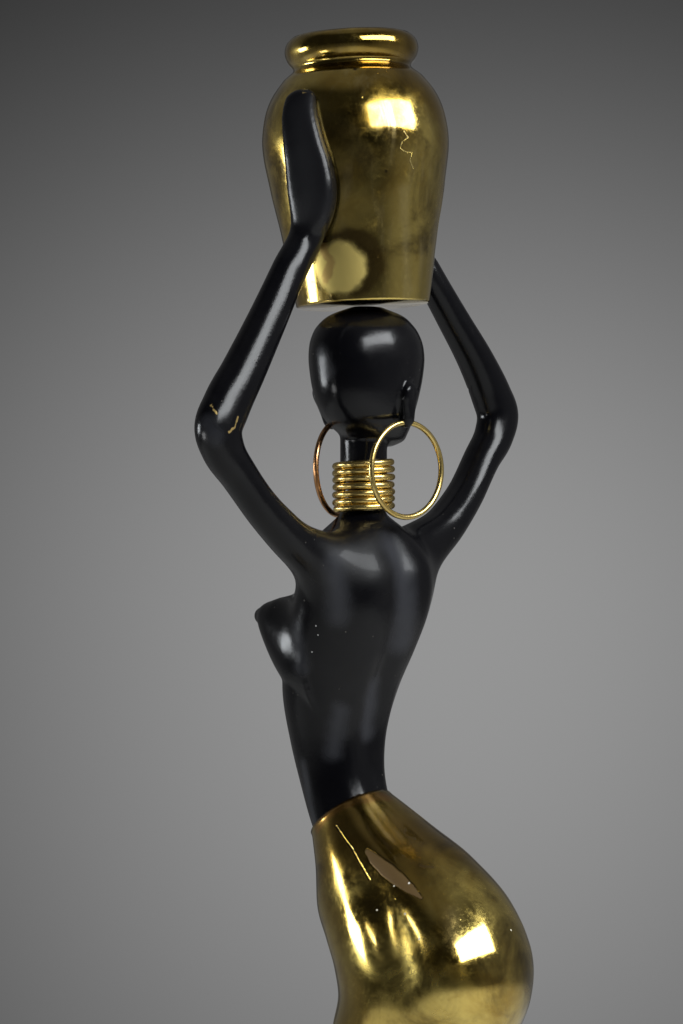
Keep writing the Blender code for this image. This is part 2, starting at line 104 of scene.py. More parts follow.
# %% Curves through rows
def read_curve(rows, count):
    """Rows of numbers, the first three a place, read at even steps along a smooth curve through them."""
    rows = np.array(rows, float)
    gaps = np.linalg.norm(np.diff(rows[:, :3], axis=0), axis=1)
    knots = np.concatenate(([0.0], np.cumsum(gaps)))
    slopes = np.gradient(rows, knots, axis=0)
    at = np.linspace(0, knots[-1], count)
    cell = np.clip(np.searchsorted(knots, at, side="right") - 1, 0, len(gaps) - 1)
    span = gaps[cell][:, None]
    t = ((at - knots[cell]) / gaps[cell])[:, None]
    return (
        (2 * t**3 - 3 * t**2 + 1) * rows[cell]
        + (t**3 - 2 * t**2 + t) * span * slopes[cell]
        + (3 * t**2 - 2 * t**3) * rows[cell + 1]
        + (t**3 - t**2) * span * slopes[cell + 1]
    )


print("three rows read at five steps:", read_curve([(0, 0, 0), (1, 0, 0), (2, 0, 1)], 5)[:, 2].round(2))

# %% [markdown]
# Each section is a ring of points, and a skin of faces is stretched from ring to ring. Bridging edge
# loops by hand gives the same faces. Doing it in code keeps every ring at the same number of points, so
# that highlights run smoothly along the form.

# %% Skins over rings
def skin(rings):
    """A closed mesh over rings of points, the first and last ring closed by a fan to its middle."""
    bm = bmesh.new()
    loops = [[bm.verts.new(p) for p in ring] for ring in rings]
    sides = len(loops[0])
    for low, high in zip(loops, loops[1:]):
        for i in range(sides):
            j = (i + 1) % sides
            bm.faces.new((low[i], low[j], high[j], high[i]))
    for ring, loop, flip in ((rings[0], loops[0], True), (rings[-1], loops[-1], False)):
        middle = bm.verts.new(np.mean(ring, axis=0))
        for i in range(sides):
            j = (i + 1) % sides
            bm.faces.new((loop[j], loop[i], middle) if flip else (loop[i], loop[j], middle))
    bmesh.ops.recalc_face_normals(bm, faces=bm.faces)
    return bm


def to_mesh(bm, name):
    """A mesh of that name from a bmesh, which is freed."""
    mesh = bpy.data.meshes.new(name)
    bm.to_mesh(mesh)
    bm.free()
    return mesh


square = [(0, 0, 0), (1, 0, 0), (1, 1, 0), (0, 1, 0)]
box = skin([square, [(x, y, 1) for x, y, _ in square]])
print("a skin over two squares has", len(box.faces), "faces, with a fan at each end")
box.free()

# %% [markdown]
# A finished mesh becomes a piece: it rides on the frame's root and stands for one node of the solids,
# which it hides; its finish is given later. Unevenness is worked in before, by moving points along
# their normals.
# That could be a Displace modifier; with arrays the same step can also look at where a point lies.

# %% Pieces
def points_of(mesh):
    """A mesh's points and their normals, as two arrays."""
    count = len(mesh.vertices)
    points = np.empty(count * 3)
    normals = np.empty(count * 3)
    mesh.vertices.foreach_get("co", points)
    mesh.vertex_normals.foreach_get("vector", normals)
    return points.reshape(-1, 3), normals.reshape(-1, 3)


def move_points(mesh, points):
    """Gives a mesh new places for its points."""
    mesh.vertices.foreach_set("co", points.ravel())
    mesh.update()


def add_piece(name, mesh, node):
    """A smooth object that rides on the frame and stands for a node, whose solid it hides."""
    made = bpy.data.objects.new(name, mesh)
    bpy.context.scene.collection.objects.link(made)
    mesh.shade_smooth()
    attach(made, "root")
    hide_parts(node)
    print(name, "has", len(mesh.polygons), "faces")
    return made


print("pieces will stand for", len(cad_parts), "nodes")

# %% [markdown]
# The jar is spun brass: a thin shell with a closed foot, a swelling belly and a rolled lip. On a lathe it
# would be one profile turned once round, and so it is here. It leans a little, as it does on her head.

# %% Jar profile
JAR_HEIGHT = 0.1625
JAR_RADIUS = 0.0562
JAR_FOOT_RADIUS = 0.0405
JAR_NECK_RADIUS = 0.0355
JAR_LIP_RADIUS = 0.0405
JAR_WALL = 0.002
JAR_LEAN = 2.6
JAR_LEAN_HEADING = -48.0
JAR_PLACE = (0.001, -0.0166, CROWN)


def jar_frame():
    """The jar's place: its foot's middle on the crown, its axis leaning."""
    heading = math.radians(JAR_LEAN_HEADING)
    lean_axis = Vector((-math.sin(heading), math.cos(heading), 0))
    return Matrix.Translation(JAR_PLACE) @ Matrix.Rotation(math.radians(JAR_LEAN), 4, lean_axis)


def jar_outline(count):
    """Radius and height of the jar's outer side, from the foot to the top of the rolled lip."""
    lip = JAR_LIP_RADIUS - JAR_NECK_RADIUS
    marks = [
        (JAR_FOOT_RADIUS, 0.0015),
        (0.55 * JAR_FOOT_RADIUS + 0.45 * JAR_RADIUS, 0.28 * JAR_HEIGHT),
        (0.22 * JAR_FOOT_RADIUS + 0.78 * JAR_RADIUS, 0.44 * JAR_HEIGHT),
        (JAR_RADIUS, 0.64 * JAR_HEIGHT),
        (0.25 * JAR_NECK_RADIUS + 0.75 * JAR_RADIUS, 0.765 * JAR_HEIGHT),
        (0.66 * JAR_NECK_RADIUS + 0.34 * JAR_RADIUS, 0.84 * JAR_HEIGHT),
        (JAR_NECK_RADIUS, 0.888 * JAR_HEIGHT),
        (JAR_NECK_RADIUS + 0.55 * lip, 0.908 * JAR_HEIGHT),
        (JAR_LIP_RADIUS, 0.95 * JAR_HEIGHT),
        (JAR_LIP_RADIUS - 0.35 * lip, 0.985 * JAR_HEIGHT),
        (JAR_LIP_RADIUS - 0.9 * lip, JAR_HEIGHT),
    ]
    read = read_curve([(radius, 0.0, height) for radius, height in marks], count)
    insets = ((0.0015, 0.0), (0.0006, 0.0003), (0.0001, 0.0008))
    edge = [(JAR_FOOT_RADIUS - inset, up) for inset, up in insets]
    return edge + [(float(radius), float(height)) for radius, _, height in read]


print("jar profile rises to", round(jar_outline(90)[-1][1] * 1000, 1), "mm")

# %% [markdown]
# The profile goes up the outside, over the lip and down the inside, so the jar is as hollow and open as
# the real one. A Screw modifier would turn it too; plain rings leave the wall in plain sight in the code.
# Spun metal is never quite even, and faint dents along the normals let its reflections swim.

# %% Jar
JAR_SIDES = 144
JAR_DENTS = 0.00022


def make_jar():
    """The jar's shell, turned, with the faint unevenness of spun metal."""
    outer = jar_outline(90)
    inner = [(r - JAR_WALL, h) for r, h in outer if JAR_WALL < h < 0.9 * JAR_HEIGHT]
    mouth = outer[-1][0] - JAR_WALL
    steps = ((0.0013, 0.0001), (0.0004, 0.0006), (0.0, 0.0016))
    roll = [(mouth + out, JAR_HEIGHT - down) for out, down in steps]
    profile = outer + roll + inner[::-1] + [(inner[0][0] - 0.001, JAR_WALL)]
    angles = [2 * math.pi * i / JAR_SIDES for i in range(JAR_SIDES)]
    rings = [[(r * math.cos(a), r * math.sin(a), z) for a in angles] for r, z in profile]
    mesh = to_mesh(skin(rings), "brass_jar")
    points, normals = points_of(mesh)
    dents = np.array([noise.noise(Vector(p) * 34) + 0.4 * noise.noise(Vector(p) * 90) for p in points])
    move_points(mesh, points + normals * (dents * JAR_DENTS)[:, None])
    mesh.transform(jar_frame())
    return add_piece("brass_jar", mesh, "jar")


jar = make_jar()

# %% [markdown]
# The upper body is one casting under a black patina. Its forms overlap and are melted together further
# down, as clay is. Here are only the helpers that put rows of the body's own parts in their place.

# %% Places on the body
def figure_point(x, y, z):
    """A place on the body, with z from the soles, in parts of which the body's height has 648."""
    return Vector((x * MM, y * MM, BASE_HEIGHT + GAP + z * MM))


def on_figure(rows):
    """Rows of places and sizes in parts of the body's height, as rows in metres. Pitches stay."""
    made = []
    for x, y, z, first, second, *rest in rows:
        made.append((*figure_point(x, y, z), first * MM, second * MM, *rest))
    return made


print("the body's top lies at", round(figure_point(0, 0, 648).z * 1000, 1), "mm")

# %% [markdown]
# The trunk runs from the cut at the waist up into the head. Its rings are pitched, because a body that
# leans back and forth isn't sliced level: the waist's plane tips forward, the rib cage's tips back.

# %% Trunk
NECK_BASE = 646
NECK_Y = -17
NECK_RADIUS = 0.0142
COIL_TURNS = 6.4
COIL_PITCH = 0.0044
COIL_HEIGHT = COIL_TURNS * COIL_PITCH
WAIST_Y, WAIST_Z, WAIST_PITCH = -27, 464, 36.0
TRUNK_SIDES = 96


def ellipse(middle, across, along, sides):
    """A ring of points round a middle, from two half axes."""
    turn = np.linspace(0, 2 * math.pi, sides, endpoint=False)[:, None]
    return np.array(middle) + np.cos(turn) * np.array(across) + np.sin(turn) * np.array(along)


def pitched_ring(row, sides):
    """A ring of the trunk. The row is x, y, z, half width, half depth and the pitch of its plane."""
    x, y, z, half_width, half_depth, pitch = row
    tilt = math.radians(pitch)
    along = np.array((0.0, half_depth * math.cos(tilt), half_depth * math.sin(tilt)))
    return ellipse((x, y, z), (half_width, 0.0, 0.0), along, sides)


def torso():
    """Waist, rib cage, shoulders and neck, which runs on into the head."""
    rows = on_figure([
        (0, -18, 446, 25, 24, 34),
        (0, -28, 466, 25.5, 24, 28),
        (0, -34, 484, 27, 24, 14),
        (0, -38, 508, 31, 26.5, 4),
        (0, -36, 539, 39, 31.5, 0),
        (0, -27, 568, 46, 33, -6),
        (-1, -17, 597, 52.5, 32, -8),
        (-2, -13, 619, 51, 28.5, -8),
        (0, -14, 632, 38, 24, -4),
        (0, -16, 640, 22, 19.5, 0),
    ])
    neck_x, neck_y, neck_z = figure_point(0, NECK_Y, NECK_BASE)
    rows.append((neck_x, neck_y, neck_z, NECK_RADIUS, NECK_RADIUS, 0))
    rows.append((neck_x, neck_y, neck_z + 0.3 * COIL_HEIGHT, NECK_RADIUS, NECK_RADIUS, 0))
    rows.append((neck_x, neck_y, CHIN + 0.25 * HEAD_HEIGHT, NECK_RADIUS, NECK_RADIUS, 0))
    return skin([pitched_ring(row, TRUNK_SIDES) for row in read_curve(rows, 160)])


forms = [torso()]
print("trunk has", len(forms[0].faces), "faces before melting")

# %% [markdown]
# The breasts are pointed cones that start inside the rib cage. A dome closes each tip, because a flat
# cap would leave a hard rim that the melting can't round.

# %% Breasts
BREAST_SIDES = 48


def rounded_end(middle, across, along, out, sides, outermost_first):
    """Rings that close the end of a form with a dome that reaches out from its last ring."""
    rings = []
    for lift in (0.2, 0.4, 0.6, 0.75, 0.87, 0.95, 0.99):
        shrink = math.sqrt(1 - lift**2)
        rings.append(ellipse(middle + out * lift, across * shrink, along * shrink, sides))
    return rings[::-1] if outermost_first else rings


def breast(side):
    """A pointed breast, from inside the rib cage to its tip."""
    rows = on_figure([
        (side * 17, -26, 562, 28, 43),
        (side * 20, -44, 566, 24.5, 34.5),
        (side * 22.5, -57, 571, 18.5, 25.5),
        (side * 24.5, -67, 577, 12.5, 16.5),
        (side * 25.5, -74, 581.5, 7.6, 9.6),
        (side * 25.5, -78, 583.5, 4.4, 5.2),
    ])
    read = read_curve(rows, 30)
    rings = [ellipse(row[:3], (row[3], 0, 0), (0, 0, row[4]), BREAST_SIDES) for row in read]
    tip = read[-1]
    out = np.array((0.0, -tip[3], 0.0))
    across, along = np.array((tip[3], 0, 0)), np.array((0, 0, tip[4]))
    return skin(rings + rounded_end(tip[:3], across, along, out, BREAST_SIDES, False))


forms += [breast(1), breast(-1)]
print("a breast has", len(forms[-1].faces), "faces before melting")

# %% [markdown]
# The hands are long flat paddles laid up the jar's sides, with no fingers drawn, as on the real figure.
# Their rows are worked out from the jar's own radius, so that they lie on it at every height.

# %% Hands
LEFT_GRIP = 8.0
RIGHT_GRIP = 191.0


def jar_radius_at(height):
    """The jar's outer radius at a height above its foot."""
    radii, heights = zip(*jar_outline(15))
    return float(np.interp(height, heights, radii))


def palm(side):
    """The hand's rows, laid up the jar's side from the wrist to the finger tips."""
    # A station is a share of the jar's height, half width, half thickness, the degrees that it lies
    # further round the jar, the power of its section and its twist.
    stations = [
        (0.262, 0.0104, 0.0094, 1, 2.6, 4),
        (0.322, 0.0132, 0.0086, 4.5, 3.2, 9),
        (0.395, 0.0148, 0.0078, 6.4, 3.8, 14),
        (0.47, 0.0143, 0.0070, 6.0, 4.0, 16),
        (0.58, 0.0122, 0.0062, 3.8, 4.0, 15),
        (0.70, 0.0102, 0.0054, 1.0, 3.8, 12),
        (0.745, 0.0092, 0.0045, 0.3, 3.4, 10),
    ]
    place_on_jar = jar_frame()
    rows = []
    for share, half_width, half_thick, turn, power, twist in stations:
        heading = math.radians(LEFT_GRIP + turn if side > 0 else RIGHT_GRIP - turn)
        height = share * JAR_HEIGHT
        reach = jar_radius_at(height) + half_thick - GAP
        place = place_on_jar @ Vector((reach * math.cos(heading), reach * math.sin(heading), height))
        rows.append((*place, half_width, half_thick, power, -side * twist))
    return rows


print("the hand starts", round(palm(1)[0][2] * 1000, 1), "mm above the ground")

# %% [markdown]
# A limb is a row of sections along a bent line. They go from round at the upper arm to a rounded box at
# the palm, and a twist rolls the palm to the jar. A Skin modifier makes limbs faster, but only round ones.

# %% Limbs
LIMB_STEPS, LIMB_SIDES = 150, 48


def squarish(middle, across, along, power, sides):
    """A ring between an ellipse, at power 2, and a rounded box, at higher powers."""
    turn = np.linspace(0, 2 * math.pi, sides, endpoint=False)[:, None]
    c, s = np.cos(turn), np.sin(turn)
    reach = (np.abs(c) ** power + np.abs(s) ** power) ** (1 / power)
    return np.array(middle) + c / reach * np.array(across) + s / reach * np.array(along)


def limb(rows, count, sides):
    """A limb. A row is x, y, z, half size along Y, half size in the limb's plane, power and twist."""
    read = read_curve(rows, count)
    places = read[:, :3]
    heading = np.gradient(places, axis=0)
    heading /= np.linalg.norm(heading, axis=1)[:, None]
    sections = []
    for place, ahead, (half_y, half_plane, power, twist) in zip(places, heading, read[:, 3:7]):
        along = np.array((0.0, 1.0, 0.0)) - ahead * ahead[1]
        along /= np.linalg.norm(along)
        across = np.cross(along, ahead)
        turn = math.radians(twist)
        rolled = math.cos(turn) * along + math.sin(turn) * across
        across = math.cos(turn) * across - math.sin(turn) * along
        along = rolled
        sections.append((place, across * half_plane, along * half_y, ahead * min(half_y, half_plane), power))
    first, last = sections[0], sections[-1]
    rings = rounded_end(first[0], first[1], first[2], -first[3], sides, True)
    rings += [squarish(place, across, along, power, sides) for place, across, along, _, power in sections]
    rings += rounded_end(last[0], last[1], last[2], last[3], sides, False)
    return skin(rings)


print("a limb has", LIMB_STEPS, "sections of", LIMB_SIDES, "points")

# %% [markdown]
# Both arms are raised to the jar with bent elbows. The farther one is written by itself instead of being
# mirrored, because its elbow stands higher.

# %% Arms
def left_arm():
    """Shoulder, raised upper arm, bent elbow, forearm and hand."""
    rows = on_figure([
        (24, -15, 606, 20, 24, 2, 0),
        (44, -14, 617.5, 17.5, 19.5, 2, 0),
        (66, -13, 629, 14, 13.6, 2, 0),
        (89.5, -14, 646, 12.4, 10.6, 2, 0),
        (109, -16, 666.5, 12, 10.6, 2, 0),
        (121.5, -17, 681.5, 12.2, 13, 2, 0),
        (125.5, -17, 693, 12.4, 15.2, 2, 0),
        (119, -17, 706.5, 12.8, 15, 2, 0),
        (106, -16, 727, 12.4, 13.6, 2, 0),
        (88, -14, 757.5, 11.2, 12, 2, 0),
        (71.5, -12, 787, 10.2, 11, 2, 0),
    ])
    return limb(rows + palm(1), LIMB_STEPS, LIMB_SIDES)


def right_arm():
    """The farther arm, raised a little higher at the elbow."""
    rows = on_figure([
        (-24, -15, 608, 20, 25, 2, 0),
        (-45, -14, 622, 17.5, 20, 2, 0),
        (-68, -13, 637, 14, 13.8, 2, 0),
        (-91, -14, 657, 12.4, 11.4, 2, 0),
        (-110, -15, 681, 12, 11.4, 2, 0),
        (-122, -15, 696, 12.2, 13, 2, 0),
        (-126, -15, 709, 12.4, 14.4, 2, 0),
        (-120.5, -16, 722, 12.6, 13.2, 2, 0),
        (-109, -17, 740, 12.2, 11.2, 2, 0),
        (-87, -20, 769, 10.6, 9.6, 2, 0),
        (-65, -23, 797, 9.8, 9.2, 2, 0),
    ])
    return limb(rows + palm(-1), LIMB_STEPS, LIMB_SIDES)


forms += [left_arm(), right_arm()]
print("an arm has", len(forms[-1].faces), "faces before melting")

# %% [markdown]
# The head is bare and turned far to her right. It has axes of its own, so that its forms are written as
# if it looked straight ahead, and one turn brings them all round.

# %% Head
HEAD_TURN = 78.0
HEAD_Y = -14.5


def head_frame():
    """The head's own axes: -Y is its face, +X its left ear, z = 0 its chin."""
    return Matrix.Translation((0, HEAD_Y * MM, CHIN)) @ Matrix.Rotation(-math.radians(HEAD_TURN), 4, "Z")


def head_form(stations, sides):
    """A form on the head from rows of x, y, z, half width and half length."""
    place = head_frame()
    rings = []
    for x, y, z, half_width, half_length in stations:
        middle = place @ (Vector((x, y, z)) * HEAD_MM)
        across = place.to_3x3() @ Vector((half_width * HEAD_MM, 0, 0))
        along = place.to_3x3() @ Vector((0, half_length * HEAD_MM, 0))
        rings.append(ellipse(middle, across, along, sides))
    return skin(rings)


def skull():
    """The bare skull and the face's mass, from the chin up to the crown."""
    rows = [
        (0, -13, 0.3, 8, 12),
        (0, -12, 3, 14, 20.5),
        (0, -8, 8, 19.2, 27.5),
        (0, -4, 14, 23.4, 33),
        (0, -1, 22, 27, 37.2),
        (0, 0, 31, 30, 40),
        (0, 0, 45, 33, 42.2),
        (0, 0, 57, 33.9, 42.8),
        (0, 0.5, 67, 32.6, 40),
        (0, 1, 75.5, 28.3, 34),
        (0, 0.5, 82.3, 20.5, 24.5),
        (0, 0, 87.0, 9, 10.5),
    ]
    return head_form(read_curve(rows, 90), 96)


forms.append(skull())
print("the skull has", len(forms[-1].faces), "faces before melting")

# %% [markdown]
# The face is a plain, calm one on the proportions of any drawing book: eyes at half height, the nose's
# foot midway below them, the mouth a third under that.

# %% Face
def nose():
    """A plain straight nose on the face's middle line."""
    rows = [
        (0, -38.5, 25.0, 3, 2),
        (0, -40, 27.0, 5.4, 4.4),
        (0, -39.5, 30.0, 4.8, 4.6),
        (0, -38, 36, 3, 4.6),
        (0, -37, 42, 2.4, 3.8),
        (0, -37.5, 48, 3.2, 3),
    ]
    return head_form(read_curve(rows, 24), 24)


def lip(low, high, forward, half_width):
    """One lip, a soft roll across the face."""
    middle = (low + high) / 2
    rows = [
        (0, forward + 1.2, low, half_width * 0.55, 2.2),
        (0, forward, middle, half_width, 4.2),
        (0, forward + 1.0, high, half_width * 0.8, 2.6),
    ]
    return head_form(read_curve(rows, 12), 24)


def eye(side):
    """A closed lid over the ball of the eye."""
    rows = [
        (side * 12, -33.0, 38.5, 3.0, 2),
        (side * 12, -33.4, 41.0, 6.0, 4.0),
        (side * 12, -33.4, 44.5, 6.2, 4.6),
        (side * 12, -33.4, 47.0, 3.6, 3),
    ]
    return head_form(read_curve(rows, 14), 24)


forms += [nose(), lip(12.8, 17.2, -33.2, 8), lip(17.0, 21.2, -34, 8.4), eye(1), eye(-1)]
print("forms so far:", len(forms))

# %% [markdown]
# Plain flat ears end in the lobes that the hoops hang in. Her right lobe reaches out further than the
# left one, which sets its hoop well clear of the neck.

# %% Ears
LOBE_REACH = {1: 3.0, -1: 8.0}


def ear(side):
    """A plain flat ear that ends below in the lobe that the hoop hangs in."""
    reach = LOBE_REACH[side]
    rows = [
        (side * (20.5 + reach), 2, 11.0, 2.4, 2.4),
        (side * (21.5 + reach), 2, 13.5, 4.2, 3.8),
        (side * (23.5 + 0.9 * reach), 2.6, 19.0, 4.4, 4.6),
        (side * (27 + 0.6 * reach), 3.2, 25.5, 3.8, 6.4),
        (side * (30.6 + 0.3 * reach), 3.6, 31.5, 3.4, 7.4),
        (side * (32.4 + 0.15 * reach), 3.6, 36.0, 2.8, 6.4),
        (side * (32.6 + 0.1 * reach), 3.0, 39.0, 1.9, 3.4),
    ]
    return head_form(read_curve(rows, 28), 32)


forms += [ear(1), ear(-1)]
print("forms in all:", len(forms))

# %% [markdown]
# A voxel remesh melts the forms into one skin, and some rounds of smoothing draw the seams together. A
# Boolean union would keep hard seams, and they are just what a casting doesn't have. The voxels are about as
# small as they can be with the figure under 200,000 triangles.

# %% Melting
FIGURE_VOXEL = 0.00135
MELT_ROUNDS = 5


def joined(forms, name):
    """One mesh that holds several forms."""
    whole = bmesh.new()
    for form in forms:
        mesh = to_mesh(form, name)
        whole.from_mesh(mesh)
        bpy.data.meshes.remove(mesh)
    return to_mesh(whole, name)


def fuse(mesh, voxel, rounds):
    """The forms of a mesh melted into one casting: a voxel skin, then some rounds of smoothing."""
    lump = bpy.data.objects.new("lump", mesh)
    bpy.context.scene.collection.objects.link(lump)
    step = lump.modifiers.new("melt", "REMESH")
    step.mode = "VOXEL"
    step.voxel_size = voxel
    ease = lump.modifiers.new("ease", "SMOOTH")
    ease.factor = 0.5
    ease.iterations = rounds
    depsgraph = bpy.context.evaluated_depsgraph_get()
    made = bpy.data.meshes.new_from_object(lump.evaluated_get(depsgraph))
    bpy.data.objects.remove(lump)
    return made


casting = fuse(joined(forms, "black_figure"), FIGURE_VOXEL, MELT_ROUNDS)
print("the melted casting has", len(casting.vertices), "points")

# %% [markdown]
# Armpits and shoulders need more drawing together than hands or head. So a second smoothing works only
# where a soft weight says, as a thumb does on clay.

# %% Shoulders
SHOULDER_ROUNDS = 170


def fair_shoulders(mesh, rounds):
    """Draws the arms' roots and the upper trunk together, as a thumb draws clay. Hands and head stay."""
    points, _ = points_of(mesh)
    edges = np.empty(len(mesh.edges) * 2, int)
    mesh.edges.foreach_get("vertices", edges)
    first, second = edges.reshape(-1, 2).T
    degree = np.bincount(np.concatenate((first, second)), minlength=len(points))[:, None]
    x, y, z = points.T / MM
    z = z - (BASE_HEIGHT + GAP) / MM
    pull = np.exp(-(((np.abs(x) - 46) / 24) ** 4) - (((z - 600 - 0.25 * np.abs(x)) / 34) ** 4))
    pull = (0.6 * pull * np.clip((y + 62) / 12, 0, 1))[:, None]
    for _ in range(rounds):
        total = np.zeros_like(points)
        for axis in range(3):
            total[:, axis] += np.bincount(first, points[second, axis], len(points))
            total[:, axis] += np.bincount(second, points[first, axis], len(points))
        points += pull * (total / degree - points)
    move_points(mesh, points)


fair_shoulders(casting, SHOULDER_ROUNDS)
print("shoulders drawn together in", SHOULDER_ROUNDS, "rounds")

# %% [markdown]
# Closed lids, the line of the mouth and the bowls of the ears are finer than the forms. They are pressed
# into the melted skin as soft grooves, which only moves points and adds none.

# %% Lids, mouth and ear bowls
def reshape(mesh, shape):
    """Moves a mesh's points to where a shape puts them."""
    points, normals = points_of(mesh)
    moved = shape(points, normals)
    furthest = np.linalg.norm(moved - points, axis=1).max()
    print(shape.__name__, "moves points by up to", round(furthest * 1000, 2), "mm")
    move_points(mesh, moved)


def soft_dent(points, middle, spread):
    """How near points are to a middle, from 1 there down to 0, with a spread for each axis."""
    reach = (points - np.array(middle)) / np.array(spread)
    return np.exp(-np.sum(reach**2, axis=1))


def carve_head(points, normals):
    """Lines of the closed lids and mouth, and the bowl of each ear, as shifts along the normals."""
    local = np.array(head_frame().inverted()) @ np.vstack((points.T, np.ones(len(points))))
    local = local[:3].T / HEAD_MM
    shift = np.zeros(len(points))
    front = local[:, 1] < -20
    mouth_line = 17.3 + 0.012 * local[:, 0] ** 2
    shift -= front * 0.55 * np.exp(-((local[:, 2] - mouth_line) / 0.8) ** 2 - (local[:, 0] / 8) ** 4)
    for side in (1, -1):
        across = local[:, 0] - side * 12
        lid_line = 40.2 + 0.06 * across**2
        shift -= front * 0.5 * np.exp(-((local[:, 2] - lid_line) / 0.7) ** 2 - (across / 6.5) ** 4)
        shift -= 1.3 * soft_dent(local, (side * 34, 3.0, 32), (4, 3.0, 5.0))
    return points + normals * (shift * HEAD_MM)[:, None]


reshape(casting, carve_head)

# %% [markdown]
# The back has a furrow down the spine, two shoulder blades and a hollow beside each flank. They are
# broad and shallow, and only the patina's highlights tell them.

# %% Back
def model_back(points, normals):
    """The furrow of the spine, the shoulder blades and the hollows beside the waist."""
    x, y, z = (points / MM).T
    z = z - (BASE_HEIGHT + GAP) / MM
    back = 1 / (1 + np.exp(-(normals[:, 1] - 0.25) / 0.12))
    spine = np.exp(-((x / 8.5) ** 2)) * np.exp(-(((z - 560) / 84) ** 4))
    nape = np.exp(-((x / 26) ** 2)) * np.exp(-(((z - 628) / 13) ** 2))
    shift = -(3.0 * spine + 2.6 * nape) * back
    for side in (1, -1):
        blade = np.exp(-(((x - side * 24) / 9.5) ** 2) - (((z - 592) / 34) ** 2))
        flank = np.exp(-(((x - side * 14) / 7) ** 2) - (((z - 522) / 48) ** 2))
        shift += back * (2.4 * blade + 1.6 * flank)
    return points + normals * (shift * MM)[:, None]


reshape(casting, model_back)

# %% [markdown]
# The jar is a piece of its own. Wherever palms or crown would reach into it they give way and keep a hair
# of air, so that no black shows through the brass.

# %% Room for the jar
def clear_jar(points, normals):
    """Palms and crown give way to the jar, with a touch of air between."""
    local = np.array(jar_frame().inverted()) @ np.vstack((points.T, np.ones(len(points))))
    x, y, z = local[:3]
    outline = jar_outline(60)
    radii = np.interp(z, [h for _, h in outline], [r for r, _ in outline]) + GAP
    out = np.hypot(x, y)
    beside = (z > 0.004) & (out < radii) & (out > 0.7 * radii)
    grow = np.where(beside, radii / np.maximum(out, 1e-6), 1.0)
    local[0] *= grow
    local[1] *= grow
    under = (z > -GAP) & (out < 0.7 * JAR_FOOT_RADIUS) & (z < 0.02)
    local[2] = np.where(under, -GAP, z)
    return (np.array(jar_frame()) @ local)[:3].T


reshape(casting, clear_jar)

# %% [markdown]
# Last, the casting is cut flat along the tipped plane where it meets the skirt's upper edge, and the cut
# is closed. Bisecting does both in two calls; a Boolean with a big box would be slower.

# %% Black figure
def make_figure(mesh):
    """The casting above the waist's plane, as a piece."""
    bm = bmesh.new()
    bm.from_mesh(mesh)
    tilt = math.radians(WAIST_PITCH)
    normal = Vector((0, -math.sin(tilt), math.cos(tilt)))
    place = figure_point(0, WAIST_Y, WAIST_Z) + normal * GAP
    everything = bm.verts[:] + bm.edges[:] + bm.faces[:]
    cut = bmesh.ops.bisect_plane(bm, geom=everything, plane_co=place, plane_no=normal, clear_inner=True)
    edges = [e for e in cut["geom_cut"] if isinstance(e, bmesh.types.BMEdge)]
    bmesh.ops.holes_fill(bm, edges=edges, sides=0)
    bmesh.ops.recalc_face_normals(bm, faces=bm.faces)
    bpy.data.meshes.remove(mesh)
    return add_piece("black_figure", to_mesh(bm, "black_figure"), "figure")


figure = make_figure(casting)

# %% [markdown]
# The skirt is a second casting, polished like a mirror, so it must not be voxels: every facet would show
# in its reflections. It is one even grid of rings, from the tight waist over the hips to the narrow hem.

# %% Skirt sections
HEM_Z = 29
WAIST_HALF_WIDTH, WAIST_HALF_DEPTH = 26.5, 27


def skirt_rows():
    """Sections of the skirt from its upper edge to the hem."""
    return on_figure([
        (0, WAIST_Y, WAIST_Z, WAIST_HALF_WIDTH, WAIST_HALF_DEPTH, WAIST_PITCH),
        (0, -10, 446, 36, 37, 28),
        (0, 8, 425, 44, 52, 22),
        (0, 27, 403, 52, 59, 14),
        (0, 38, 380, 56, 59.5, 5),
        (0, 39, 361, 56, 56.5, 0),
        (0, 31.5, 340, 54, 54.5, -4),
        (0, 20, 308, 52, 52, -8),
        (0, 4, 263, 47, 45, -8),
        (0, -7, 213, 42, 38, -4),
        (0, -9, 168, 38, 33, 0),
        (0, -3, 118, 33, 28, 4),
        (0, 3, 70, 30, 26, 3),
        (0, 7, HEM_Z, 32, 29, 0),
    ])


print("the skirt has", len(skirt_rows()), "sections")

# %% [markdown]
# The hips aren't plain ovals. A few broad swells push the skirt out over the seat and in beside it. Each
# is a soft hill round one heading and one height, and together they bend the highlights.

# %% Skirt relief
def skirt_relief(heading, height):
    """How far the cloth stands off its plain section, in parts of the body's height."""
    def swell(middle, spread, level, reach, amount):
        turn = (heading - middle + 180) % 360 - 180
        return amount * math.exp(-((turn / spread) ** 2) - ((height - level) / reach) ** 2)

    return (
        swell(90, 48, 372, 40, -2.5)
        + swell(64, 38, 373, 32, 11.5)
        + swell(118, 30, 370, 32, 1.5)
        + swell(64, 34, 436, 24, -1.5)
        + swell(68, 23, 373, 34, -2.6)
        + swell(20, 13, 388, 44, -5.0)
        + swell(160, 13, 388, 44, -3.4)
        + swell(270, 28, 366, 28, 5.5)
        + swell(270, 14, 190, 90, -2.0)
    )


print("the hip stands out by", round(skirt_relief(64, 373), 1), "parts of the body's height")

# %% [markdown]
# Hand polishing leaves a wave too small to see as form, yet a mirror shows it. Noise adds it here, on
# top of the swells. The upper edge is rounded inwards, as the cast rim is.

# %% Skirt
SKIRT_STEPS, SKIRT_SIDES = 240, 200


